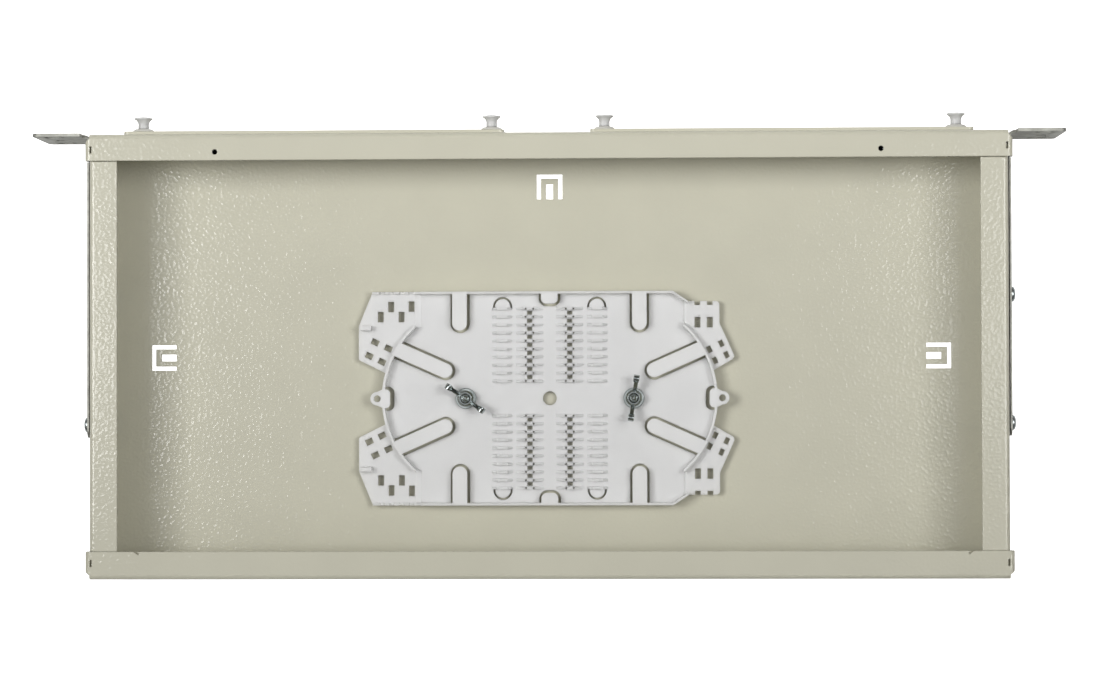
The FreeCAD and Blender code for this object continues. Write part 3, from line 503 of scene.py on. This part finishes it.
def new_group(name, inputs, outputs):
    """Shader node group with a vector input, value inputs and value outputs."""
    group = bpy.data.node_groups.new(name, "ShaderNodeTree")
    face = group.interface
    face.new_socket("Vector", in_out="INPUT", socket_type="NodeSocketVector")
    for label, default in inputs.items():
        socket = face.new_socket(label, in_out="INPUT", socket_type="NodeSocketFloat")
        socket.default_value = default
    for label in outputs:
        face.new_socket(label, in_out="OUTPUT", socket_type="NodeSocketFloat")
    return group, group.nodes.new("NodeGroupInput"), group.nodes.new("NodeGroupOutput")


def use_group(tree, group, **values):
    """Places a group in a material on Object coordinates."""
    node = tree.nodes.new("ShaderNodeGroup")
    node.node_tree = group
    set_inputs(node, **values)
    place = tree.nodes.new("ShaderNodeTexCoord")
    link(tree, place.outputs["Object"], node.inputs["Vector"])
    return node


def swells_group():
    """Rounded swells, as of orange peel or of a moulded skin, and the drops that stand on them."""
    fine_scale = 2.7
    broad_scale = 0.045
    drops_start = 0.54
    drops_full = 0.78
    broad_low = 0.3
    broad_high = 0.7
    darkest = 0.97
    group, inside, outside = new_group("surface_swells", {"Size": 0.002, "Fine": 0.3},
                                       ["Height", "Drops", "Tone"])
    vector = inside.outputs["Vector"]
    scale = maths(group, "DIVIDE", 1.0, inside.outputs["Size"])
    coarse = noise(group, vector, scale, detail=0.0)
    fine = noise(group, vector, maths(group, "MULTIPLY", scale, fine_scale), detail=0.0)
    height = maths(group, "ADD", coarse, maths(group, "MULTIPLY", fine, inside.outputs["Fine"]))
    link(group, height, outside.inputs["Height"])
    drops = to_range(group, coarse, drops_start, drops_full, 0.0, 1.0)
    link(group, drops, outside.inputs["Drops"])
    broad = noise(group, vector, maths(group, "MULTIPLY", scale, broad_scale))
    tone = to_range(group, broad, broad_low, broad_high, darkest, 1.0)
    link(group, tone, outside.inputs["Tone"])
    return group


def plating_group():
    """Cloudy tone and gloss of plated or rolled steel."""
    grain_scale = 9.0
    cloud_share = 0.7
    grain_share = 0.3
    dull_start = 0.35
    dull_full = 0.65
    group, inside, outside = new_group("plating_mottle", {"Size": 0.004, "Depth": 0.2},
                                       ["Tone", "Gloss", "Height"])
    vector = inside.outputs["Vector"]
    scale = maths(group, "DIVIDE", 1.0, inside.outputs["Size"])
    cloud = noise(group, vector, scale, detail=4.0, roughness=0.6)
    grain = noise(group, vector, maths(group, "MULTIPLY", scale, grain_scale))
    mixed = maths(group, "ADD", maths(group, "MULTIPLY", cloud, cloud_share),
                  maths(group, "MULTIPLY", grain, grain_share))
    dull = to_range(group, mixed, dull_start, dull_full, 0.0, 1.0)
    drop = maths(group, "MULTIPLY", dull, inside.outputs["Depth"])
    link(group, maths(group, "SUBTRACT", 1.0, drop), outside.inputs["Tone"])
    link(group, drop, outside.inputs["Gloss"])
    link(group, grain, outside.inputs["Height"])
    return group


# Finishes

def bump_from(tree, shader, height, distance, softened):
    """Feeds a height into the shader's normal, over edges softened by a radius."""
    bump = add_node(tree, "ShaderNodeBump", Strength=1.0, Distance=distance)
    link(tree, height, bump.inputs["Height"])
    edge = add_node(tree, "ShaderNodeBevel", Radius=softened)
    edge.samples = EDGE_SAMPLES
    link(tree, edge.outputs["Normal"], bump.inputs["Normal"])
    link(tree, bump.outputs["Normal"], shader.inputs["Normal"])


def powder_coat(groups):
    """Warm grey powder coat with orange peel, gentler at the height of the flanges."""
    values = settings("finish")
    floor_peel_top = 0.030
    flange_peel_foot = 0.042
    tree, shader = new_material("finish_powder_coat")
    peel = use_group(tree, groups["swells"], Size=values.peel_size, Fine=0.25)
    link(tree, tinted(tree, values.coat_colour, peel.outputs["Tone"]), shader.inputs["Base Color"])
    drops = maths(tree, "MULTIPLY", peel.outputs["Drops"], values.peel_drops)
    height = maths(tree, "ADD", peel.outputs["Height"], drops)
    place = tree.nodes.new("ShaderNodeSeparateXYZ")
    link(tree, tree.nodes.new("ShaderNodeTexCoord").outputs["Object"], place.inputs["Vector"])
    gentler = to_range(tree, place.outputs["Z"], floor_peel_top, flange_peel_foot, 1.0, values.peel_flange)
    height = maths(tree, "MULTIPLY", height, gentler)
    bump_from(tree, shader, height, values.peel_depth, values.coat_edge)
    set_inputs(shader, Roughness=0.1, Specular_IOR_Level=0.45)


def moulded(name, groups, rgb, roughness, subsurface, reach):
    """Moulded plastic with a faint skin, soft edges and light inside."""
    skin_size = 0.0011
    skin_depth = 0.000012
    tree, shader = new_material("finish_" + name)
    skin = use_group(tree, groups["swells"], Size=skin_size, Fine=0.5)
    link(tree, tinted(tree, rgb, skin.outputs["Tone"]), shader.inputs["Base Color"])
    bump_from(tree, shader, skin.outputs["Height"], skin_depth, settings("finish").edge_softness)
    set_inputs(shader, Roughness=roughness, Subsurface_Weight=subsurface,
               Subsurface_Radius=WHITE, Subsurface_Scale=reach)


def plated(name, groups, rgb, roughness, size, depth, metallic=1.0):
    """Plated steel with a cloudy tone and gloss."""
    dullness = 0.35
    grain_depth = 0.000010
    edge_radius = 0.00012
    tree, shader = new_material("finish_" + name)
    mottle = use_group(tree, groups["plating"], Size=size, Depth=depth)
    link(tree, tinted(tree, rgb, mottle.outputs["Tone"]), shader.inputs["Base Color"])
    gloss = maths(tree, "ADD", maths(tree, "MULTIPLY", mottle.outputs["Gloss"], dullness), roughness)
    link(tree, gloss, shader.inputs["Roughness"])
    bump_from(tree, shader, mottle.outputs["Height"], grain_depth, edge_radius)
    set_inputs(shader, Metallic=metallic)


def finish(name):
    """A finish by its slot's name."""
    return bpy.data.materials["finish_" + name]


class FIBREBOX_OT_finishes(Operator):
    """Make the finishes and give every frame node its own"""

    bl_idname = "fibre_box.finishes"
    bl_label = "Finishes"

    def execute(self, context):
        values = settings("finish")
        groups = {"swells": swells_group(), "plating": plating_group()}
        powder_coat(groups)
        moulded("tray_plastic", groups, values.tray_colour, roughness=0.42, subsurface=1.0, reach=0.0035)
        moulded("latch_nylon", groups, values.nylon_colour, roughness=0.35, subsurface=0.7, reach=0.0022)
        moulded("grommet_plastic", groups, values.grommet_colour,
                roughness=0.42, subsurface=0.3, reach=0.0015)
        plated("ear_steel", groups, values.ear_colour, roughness=0.5, size=0.006, depth=0.22, metallic=0.7)
        plated("fastener_zinc", groups, values.zinc_colour, roughness=0.32, size=0.003, depth=0.25)
        plated("wing_nut_zinc", groups, values.zinc_colour, roughness=0.12, size=0.002, depth=0.2)
        plated("stud_steel", groups, values.zinc_colour, roughness=0.10, size=0.002, depth=0.2)
        # Finish of the cover nuts' blind holes: near black, painted shade for the depth of the holes.
        plated("nut_bore", groups, values.bore_shade_colour, roughness=0.5, size=0.001, depth=0.3)
        for part in frame["record"]["subparts"]:
            mesh = frame["nodes"][part["node"]].data
            mesh.materials.clear()
            mesh.materials.append(finish(part["material_slot"]))
        return {"FINISHED"}


# Wing nuts

def inset(outline, distance):
    """Outline of x and z, turning left, moved inwards by a distance."""
    least_lean = 0.2
    moved = []
    for step, point in enumerate(outline):
        before = (point - outline[step - 1]).normalized()
        after = (outline[(step + 1) % len(outline)] - point).normalized()
        inward = Vector((-before.y - after.y, before.x + after.x)).normalized()
        lean = max(inward.dot(Vector((-before.y, before.x))), least_lean)
        moved.append(point + inward * (distance / lean))
    return moved


def rounded_plate(outline, thick, soft, name):
    """Plate across Y with rounded edges, from an outline of x and z that turns left."""
    last = 3
    rings = []
    for side in (-1, 1):
        for turn in range(last + 1)[::side]:
            angle = math.radians(90 * turn / last)
            ring = inset(outline, soft * (1 - math.cos(angle)))
            y = side * (thick / 2 - soft + soft * math.sin(angle))
            rings.append([(point.x, y, point.y) for point in ring])
    bm = bmesh.new()
    loft(bm, rings)
    return mesh_from(bm, name)


def wing_meshes(values):
    """Slanted arm and oval tip of one wing, along +X."""
    steps = 40
    bore_wall = 0.0004
    arm_foot = 0.22
    arm_top = 0.8
    tip_slant = (-0.55, 0.75)
    middle = Vector((values.tip_x, values.tip_z))
    root = values.bore + bore_wall
    slant = Vector(tip_slant) * values.tip_round
    arm = [Vector((root, values.hub_height * arm_foot)), middle - slant, middle + slant,
           Vector((root, values.hub_height * arm_top))]
    oval = []
    for step in range(steps):
        angle = 2 * math.pi * step / steps
        reach = Vector((values.tip_round * math.cos(angle), values.tip_rise * math.sin(angle)))
        oval.append(middle + reach)
    return [rounded_plate(arm, values.arm, values.edge, "arm"),
            rounded_plate(oval, values.tip, values.edge, "tip")]


def hub_profile(values):
    """Closed profile of a nut's hub: foot, chamfer, flat crown and threaded hole."""
    base, top, bore, height = values.hub_base, values.hub_top, values.bore, values.hub_height
    chamfer = 0.0002
    lead_in = 0.0004
    return [(bore, 0), (base - chamfer, 0), (base, chamfer), (base, height - base + top), (top, height),
            (bore + lead_in, height), (bore, height - lead_in), (bore, 0)]


class FIBREBOX_OT_wing_nuts(Operator):
    """Make the two wing nuts that hold the splice tray"""

    bl_idname = "fibre_box.wing_nuts"
    bl_label = "Wing nuts"

    def execute(self, context):
        values = settings("nut")
        for name in SIDES:
            node = name + "_wing_nut"
            low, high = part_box(name + "_tray_stud")
            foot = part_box(node)[0][2]
            parts = []
            bm = bmesh.new()
            lathe(bm, hub_profile(values), HUB_STEPS)
            parts.append(mesh_from(bm, name + "_hub"))
            for way in (0, math.pi):
                for part in wing_meshes(values):
                    part.transform(Matrix.Rotation(way, 4, "Z"))
                    parts.append(part)
            mesh = fused(parts, node + "_forged")
            turn = Matrix.Rotation(getattr(values, name + "_turn"), 4, "Z")
            middle = (*middle_of(low, high), foot)
            mesh.transform(Matrix.Translation(middle) @ turn)
            soft_edges(mesh)
            piece_from(mesh, node, "wing_nut_zinc", [node])
        return {"FINISHED"}


class FIBREBOX_OT_washers(Operator):
    """Make the washers under the wing nuts"""

    bl_idname = "fibre_box.washers"
    bl_label = "Washers"

    def execute(self, context):
        clearance = 0.0002
        edge_share = 0.45
        hole = settings("nut").bore + clearance
        for name in SIDES:
            node = name + "_tray_washer"
            low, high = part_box(node)
            rim = (high[0] - low[0]) / 2
            thick = high[2] - low[2]
            soft = thick * edge_share
            bm = bmesh.new()
            lathe(bm, [(hole, 0), (rim - soft, 0), (rim, soft), (rim, thick - soft), (rim - soft, thick),
                       (hole, thick), (hole, 0)], WASHER_STEPS)
            mesh = mesh_from(bm, node + "_pressed")
            mesh.transform(Matrix.Translation((*middle_of(low, high), low[2])))
            piece_from(mesh, "box", "fastener_zinc", [node])
        return {"FINISHED"}


# Repeats by Geometry Nodes

def repeat_tree(name, inputs):
    """Geometry node tree with a geometry input and output and named inputs."""
    tree = bpy.data.node_groups.new(name, "GeometryNodeTree")
    face = tree.interface
    face.new_socket("Geometry", in_out="INPUT", socket_type="NodeSocketGeometry")
    for label, kind in inputs.items():
        face.new_socket(label, in_out="INPUT", socket_type="NodeSocket" + kind)
    face.new_socket("Geometry", in_out="OUTPUT", socket_type="NodeSocketGeometry")
    return tree, tree.nodes.new("NodeGroupInput"), tree.nodes.new("NodeGroupOutput")


def repeated(points, tree, name, **values):
    """Plain mesh of a node tree that runs on some points."""
    helper = helper_object(points)
    modifier = helper.modifiers.new("repeat", "NODES")
    modifier.node_group = tree
    for item in tree.interface.items_tree:
        label = item.name.lower()
        if item.in_out == "INPUT" and label in values:
            modifier[item.identifier] = values[label]
    mesh = baked(helper, name)
    soft_edges(mesh)
    return mesh


def points_mesh(name, places, outward=None):
    """Mesh of single points, with the way that they face where one is given."""
    mesh = bpy.data.meshes.new(name)
    mesh.from_pydata(places, [], [])
    if outward:
        facing = mesh.attributes.new("facing", "FLOAT_VECTOR", "POINT")
        for item in facing.data:
            item.vector = outward
    return mesh


def finish_tree(tree, instances, inside, outside):
    """Makes instances real and gives them the material of the named input."""
    real = tree.nodes.new("GeometryNodeRealizeInstances")
    link(tree, instances, real.inputs["Geometry"])
    paint = tree.nodes.new("GeometryNodeSetMaterial")
    link(tree, real.outputs["Geometry"], paint.inputs["Geometry"])
    link(tree, inside.outputs["Material"], paint.inputs["Material"])
    link(tree, paint.outputs["Geometry"], outside.inputs["Geometry"])


def fasteners_tree():
    """Sets one fastener on every point, with its head facing outwards."""
    inputs = {"Fastener": "Object", "Spin": "Float", "Material": "Material"}
    tree, inside, outside = repeat_tree("fasteners_on_points", inputs)
    info = tree.nodes.new("GeometryNodeObjectInfo")
    link(tree, inside.outputs["Fastener"], info.inputs["Object"])
    facing = add_node(tree, "GeometryNodeInputNamedAttribute", Name="facing")
    facing.data_type = "FLOAT_VECTOR"
    align = tree.nodes.new("FunctionNodeAlignRotationToVector")
    align.axis = "Z"
    link(tree, facing.outputs["Attribute"], align.inputs["Vector"])
    index = tree.nodes.new("GeometryNodeInputIndex")
    angle = maths(tree, "MULTIPLY", index.outputs[0], inside.outputs["Spin"])
    spin = tree.nodes.new("FunctionNodeAxisAngleToRotation")
    set_inputs(spin, Axis=(0.0, 0.0, 1.0))
    link(tree, angle, spin.inputs["Angle"])
    turn = tree.nodes.new("FunctionNodeRotateRotation")
    turn.rotation_space = "LOCAL"
    link(tree, align.outputs["Rotation"], turn.inputs["Rotation"])
    link(tree, spin.outputs["Rotation"], turn.inputs["Rotate By"])
    place = tree.nodes.new("GeometryNodeInstanceOnPoints")
    link(tree, inside.outputs["Geometry"], place.inputs["Points"])
    link(tree, info.outputs["Geometry"], place.inputs["Instance"])
    link(tree, turn.outputs["Rotation"], place.inputs["Rotation"])
    finish_tree(tree, place.outputs["Instances"], inside, outside)
    return tree


def thread_tree():
    """Stacks the turns of a thread over every point."""
    profile_corners = 4
    inputs = {"Radius": "Float", "Depth": "Float", "Pitch": "Float", "Turns": "Int", "Material": "Material"}
    tree, inside, outside = repeat_tree("thread_turns", inputs)
    ring = add_node(tree, "GeometryNodeCurvePrimitiveCircle", Resolution=THREAD_STEPS)
    mid = maths(tree, "SUBTRACT", inside.outputs["Radius"], inside.outputs["Depth"])
    link(tree, mid, ring.inputs["Radius"])
    profile = add_node(tree, "GeometryNodeCurvePrimitiveCircle", Resolution=profile_corners)
    link(tree, inside.outputs["Depth"], profile.inputs["Radius"])
    sweep = tree.nodes.new("GeometryNodeCurveToMesh")
    link(tree, ring.outputs["Curve"], sweep.inputs["Curve"])
    link(tree, profile.outputs["Curve"], sweep.inputs["Profile Curve"])
    stack = tree.nodes.new("GeometryNodeMeshLine")
    link(tree, inside.outputs["Turns"], stack.inputs["Count"])
    rise = tree.nodes.new("ShaderNodeCombineXYZ")
    link(tree, inside.outputs["Pitch"], rise.inputs["Z"])
    link(tree, rise.outputs["Vector"], stack.inputs["Offset"])
    turns = tree.nodes.new("GeometryNodeInstanceOnPoints")
    link(tree, stack.outputs["Mesh"], turns.inputs["Points"])
    link(tree, sweep.outputs["Mesh"], turns.inputs["Instance"])
    place = tree.nodes.new("GeometryNodeInstanceOnPoints")
    link(tree, inside.outputs["Geometry"], place.inputs["Points"])
    link(tree, turns.outputs["Instances"], place.inputs["Instance"])
    finish_tree(tree, place.outputs["Instances"], inside, outside)
    return tree


# Ear screws

def islands(mesh):
    """Boxes of the separate solids of a frame node, as low and high corners."""
    bm = bmesh.new()
    bm.from_mesh(mesh)
    bmesh.ops.remove_doubles(bm, verts=bm.verts, dist=NODE_MERGE)
    waiting = set(bm.verts)
    boxes = []
    while waiting:
        seed = min(waiting, key=lambda vert: vert.index)
        group = {seed}
        front = [seed]
        while front:
            vert = front.pop()
            for spoke in vert.link_edges:
                other = spoke.other_vert(vert)
                if other not in group:
                    group.add(other)
                    front.append(other)
        waiting -= group
        points = [vert.co for vert in group]
        boxes.append((Vector([min(point[axis] for point in points) for axis in range(3)]),
                      Vector([max(point[axis] for point in points) for axis in range(3)])))
    bm.free()
    return sorted(boxes, key=lambda box: tuple(box[0]))


def screw_mesh(values, length):
    """One pan-head screw with a cross recess, its seat at height 0."""
    half = values.recess_width / 2
    flare = 1.3
    side_slope = 0.6
    end_slope = 0.55
    crown = 2.6
    rings = 22
    neck = 0.0004
    end_rise = 0.0005
    end_taper = 0.0006

    def sink(x, y):
        """Depth of the cross recess at a place on the head."""
        wide = min(abs(x), abs(y))
        far = max(abs(x), abs(y))
        side = min(max((half * flare - wide) / (half * side_slope), 0.0), 1.0)
        end = min(max((values.recess - far) / (values.recess * end_slope), 0.0), 1.0)
        return values.recess_depth * side * end

    rise = values.head_height - values.head_edge
    dome = []
    for step in range(rings + 1):
        share = step / rings
        height = values.head_edge + rise * math.sqrt(1 - share ** crown)
        dome.append((values.head * share, height))
    bm = bmesh.new()
    lathe(bm, dome, SCREW_STEPS, sink)
    core = values.shank - values.thread_depth
    lathe(bm, [(values.head, values.head_edge), (values.head, 0), (values.shank, 0), (core, -neck),
               (core, -length + end_rise), (core - end_taper, -length), (0, -length)], SCREW_STEPS)
    return mesh_from(bm, "screw")


class FIBREBOX_OT_ear_screws(Operator):
    """Make the screws that hold the rack ears"""

    bl_idname = "fibre_box.ear_screws"
    bl_label = "Ear screws"

    def execute(self, context):
        values = settings("fastener")
        tree = fasteners_tree()
        for name, side in SIDES.items():
            node = name + "_ear_screws"
            boxes = islands(frame["nodes"][node].data)
            first_low, first_high = boxes[0]
            length = first_high.x - first_low.x - values.head_height
            screw = helper_object(screw_mesh(values, length))
            places = []
            for low, high in boxes:
                face = high.x - values.head_height if side > 0 else low.x + values.head_height
                places.append((face, (low.y + high.y) / 2, (low.z + high.z) / 2))
            points = points_mesh(node + "_points", places, (side, 0, 0))
            mesh = repeated(points, tree, node + "_turned", fastener=screw, spin=values.screw_turn,
                            material=finish("fastener_zinc"))
            remove_helper(screw)
            piece_from(mesh, "box", "fastener_zinc", [node])
        return {"FINISHED"}


# Rack ears

def gap_block(low, high, name):
    """Block between two corners, which cuts the gap beside a leg."""
    bm = bmesh.new()
    bmesh.ops.create_cube(bm, size=1.0)
    size = Vector(high) - Vector(low)
    middle = (Vector(high) + Vector(low)) / 2
    for vert in bm.verts:
        vert.co = middle + Vector([vert.co[axis] * size[axis] for axis in range(3)])
    return mesh_from(bm, name)


class FIBREBOX_OT_rack_ears(Operator):
    """Make the rack ears, their legs set off from the box along the top"""

    bl_idname = "fibre_box.rack_ears"
    bl_label = "Rack ears"

    def execute(self, context):
        values = settings("ear")
        for name, side in SIDES.items():
            node = name + "_rack_ear"
            bm = bmesh.new()
            bm.from_mesh(frame["nodes"][node].data)
            bmesh.ops.remove_doubles(bm, verts=bm.verts, dist=MERGE)
            leg_face = min(abs(vert.co.x) for vert in bm.verts)
            leg_top = max(vert.co.z for vert in bm.verts if abs(vert.co.x) - leg_face < FLAT)
            ear = helper_object(mesh_from(bm, node))
            low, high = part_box(node)
            edges = sorted((side * (leg_face - values.gap), side * (leg_face + values.gap)))
            start = (edges[0], low[1], leg_top - values.gap_depth)
            end = (edges[1], high[1] + values.gap, leg_top + values.gap_depth)
            cutter = helper_object(gap_block(start, end, node + "_gap"))
            combine(ear, cutter, "DIFFERENCE")
            mesh = baked(ear, node + "_folded")
            remove_helper(cutter)
            soft_edges(mesh)
            piece_from(mesh, "box", "ear_steel", [node])
        return {"FINISHED"}


# Tray studs

class FIBREBOX_OT_tray_studs(Operator):
    """Make the threaded studs that carry the splice tray"""

    bl_idname = "fibre_box.tray_studs"
    bl_label = "Tray studs"

    def execute(self, context):
        values = settings("fastener")
        collar = 0.0006
        chamfer = 0.0002
        tip = 0.0012
        tip_share = 0.3
        bare_end = 0.0005
        core = values.shank - values.thread_depth
        tree = thread_tree()
        for name in SIDES:
            node = name + "_tray_stud"
            low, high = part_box(node)
            middle = middle_of(low, high)
            foot = (high[0] - low[0]) / 2
            height = high[2] - low[2]
            bm = bmesh.new()
            lathe(bm, [(0, 0), (foot, 0), (foot, collar - chamfer), (foot - chamfer, collar),
                       (core, collar), (core, height - tip), (core * tip_share, height), (0, height)],
                  STUD_STEPS)
            rod = mesh_from(bm, name + "_rod")
            rod.transform(Matrix.Translation((*middle, low[2])))
            start = collar + values.thread_pitch
            turns = int((height - start - bare_end) / values.thread_pitch) + 1
            points = points_mesh(node + "_points", [(*middle, low[2] + start)])
            thread = repeated(points, tree, node + "_thread", radius=values.shank,
                              depth=values.thread_depth, pitch=values.thread_pitch, turns=turns,
                              material=finish("stud_steel"))
            piece_from(joined([rod, thread], node + "_threaded"), "box", "stud_steel", [node])
        return {"FINISHED"}


# Cover nuts

class FIBREBOX_OT_cover_nuts(Operator):
    """Make the closed nuts pressed into the front flange, under the cover holes"""

    bl_idname = "fibre_box.cover_nuts"
    bl_label = "Cover nuts"

    def execute(self, context):
        values = settings("cover_nut")
        low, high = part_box("chassis_tray")
        top = high[2] - values.sheet
        soft = 0.0004
        cap = 0.0008
        shell = [(values.hole, 0), (values.radius, 0), (values.radius, soft - values.length),
                 (values.radius - soft, -values.length), (0, -values.length)]
        blind = [(0, cap - values.length), (values.hole, 0)]
        for name, side in SIDES.items():
            bm = bmesh.new()
            lathe(bm, shell, COVER_NUT_STEPS)
            lathe(bm, blind, COVER_NUT_STEPS)
            mesh = mesh_from(bm, name + "_cover_nut")
            bore = [face.index for face in mesh.polygons
                    if face.center.z > cap - values.length and face.center.xy.length < values.hole]
            mesh.transform(Matrix.Translation((side * values.spacing / 2, low[1] + values.setback, top)))
            piece_from(mesh, "box", "stud_steel")
            # The faces inside the blind hole take the near-black finish: painted shade in the hole.
            mesh.materials.append(finish("nut_bore"))
            for index in bore:
                mesh.polygons[index].material_index = 1
        return {"FINISHED"}


# Stage

def area_light(name, place, size, power, aim, spread):
    """A soft rectangular light aimed at a point."""
    data = bpy.data.lights.new(name, "AREA")
    data.shape = "RECTANGLE"
    data.size, data.size_y = size
    data.energy = power
    data.spread = spread
    light = bpy.data.objects.new(name, data)
    light.location = place
    light.rotation_euler = (Vector(aim) - Vector(place)).to_track_quat("-Z", "Y").to_euler()
    bpy.context.scene.collection.objects.link(light)


class FIBREBOX_OT_stage(Operator):
    """Set up the floor, the lights and the camera"""

    bl_idname = "fibre_box.stage"
    bl_label = "Stage"

    def execute(self, context):
        values = settings("stage")
        scene = context.scene
        scene.view_settings.view_transform = "Standard"
        self.add_floor(values)
        self.add_world(scene, values)
        size = (values.light_length, values.light_width)
        for name, side in SIDES.items():
            place = getattr(values, name + "_place")
            power = getattr(values, name + "_power")
            aim = (-side * values.aim_past, -values.aim_front, 0)
            area_light(name + "_light", place, size, power, aim, values.light_spread)
        area_light("ceiling", (0, 0, values.ceiling_height), (values.ceiling_width, values.ceiling_width),
                   values.ceiling_power, (0, 0, 0), math.pi)
        self.add_camera(scene, values)
        return {"FINISHED"}

    def add_floor(self, values):
        """A wide pale floor under the box."""
        half = 3.0
        below = 0.0002
        mesh = bpy.data.meshes.new("floor")
        mesh.from_pydata([(-half, -half, 0), (half, -half, 0), (half, half, 0), (-half, half, 0)],
                         [], [(0, 1, 2, 3)])
        floor = bpy.data.objects.new("floor", mesh)
        floor.location.z = -below
        bpy.context.scene.collection.objects.link(floor)
        tree, shader = new_material("floor")
        set_inputs(shader, Base_Color=colour(values.floor_colour), Roughness=0.9,
                   Emission_Color=colour(WHITE))
        seen = tree.nodes.new("ShaderNodeLightPath").outputs["Is Camera Ray"]
        link(tree, maths(tree, "ADD", seen, values.floor_glow), shader.inputs["Emission Strength"])
        mesh.materials.append(bpy.data.materials["floor"])

    def add_world(self, scene, values):
        """Dim even light from all round."""
        world = bpy.data.worlds.new("studio")
        scene.world = world
        world.use_nodes = True
        set_inputs(world.node_tree.nodes["Background"], Color=colour(WHITE), Strength=values.world_light)

    def add_camera(self, scene, values):
        """Camera that looks down on the open box, front at the top of the picture."""
        data = bpy.data.cameras.new("camera")
        data.sensor_width = SENSOR_WIDTH
        data.lens = SENSOR_WIDTH * values.focal_pixels / PICTURE_WIDTH
        camera = bpy.data.objects.new("camera", data)
        lean = Euler(values.camera_tilt, "XYZ").to_matrix()
        half_turn = Matrix.Diagonal((-1, -1, 1))
        turn = (half_turn @ lean.transposed()).to_4x4()
        camera.matrix_world = Matrix.Translation(values.camera_place) @ turn
        scene.collection.objects.link(camera)
        scene.camera = camera


OPERATORS = (FIBREBOX_OT_finishes, FIBREBOX_OT_wing_nuts, FIBREBOX_OT_washers, FIBREBOX_OT_ear_screws,
             FIBREBOX_OT_rack_ears, FIBREBOX_OT_tray_studs, FIBREBOX_OT_cover_nuts, FIBREBOX_OT_stage)


class FIBREBOX_PT_pieces(Panel):
    """Buttons that dress the box, in order"""

    bl_label = "Fibre box"
    bl_idname = "FIBREBOX_PT_pieces"
    bl_space_type = "VIEW_3D"
    bl_region_type = "UI"
    bl_category = "Fibre box"

    def draw(self, context):
        for operator in OPERATORS:
            self.layout.operator(operator.bl_idname)


SETTINGS = {"finish": FinishSettings, "nut": WingNutSettings, "fastener": FastenerSettings,
            "ear": EarSettings, "cover_nut": CoverNutSettings, "stage": StageSettings}
CLASSES = (*SETTINGS.values(), *OPERATORS, FIBREBOX_PT_pieces)


def register():
    """Registers the classes and the settings that the scene holds."""
    for item in CLASSES:
        bpy.utils.register_class(item)
    for name, group in SETTINGS.items():
        setattr(bpy.types.Scene, "fibre_box_" + name, PointerProperty(type=group))


def unregister():
    """Takes the settings and the classes away again."""
    for name in SETTINGS:
        delattr(bpy.types.Scene, "fibre_box_" + name)
    for item in reversed(CLASSES):
        bpy.utils.unregister_class(item)


def main():
    """Builds every piece in order."""
    register()
    bpy.ops.fibre_box.finishes()
    bpy.ops.fibre_box.wing_nuts()
    bpy.ops.fibre_box.washers()
    bpy.ops.fibre_box.ear_screws()
    bpy.ops.fibre_box.rack_ears()
    bpy.ops.fibre_box.tray_studs()
    bpy.ops.fibre_box.cover_nuts()
    bpy.ops.fibre_box.stage()


if __name__ == "__main__":
    main()
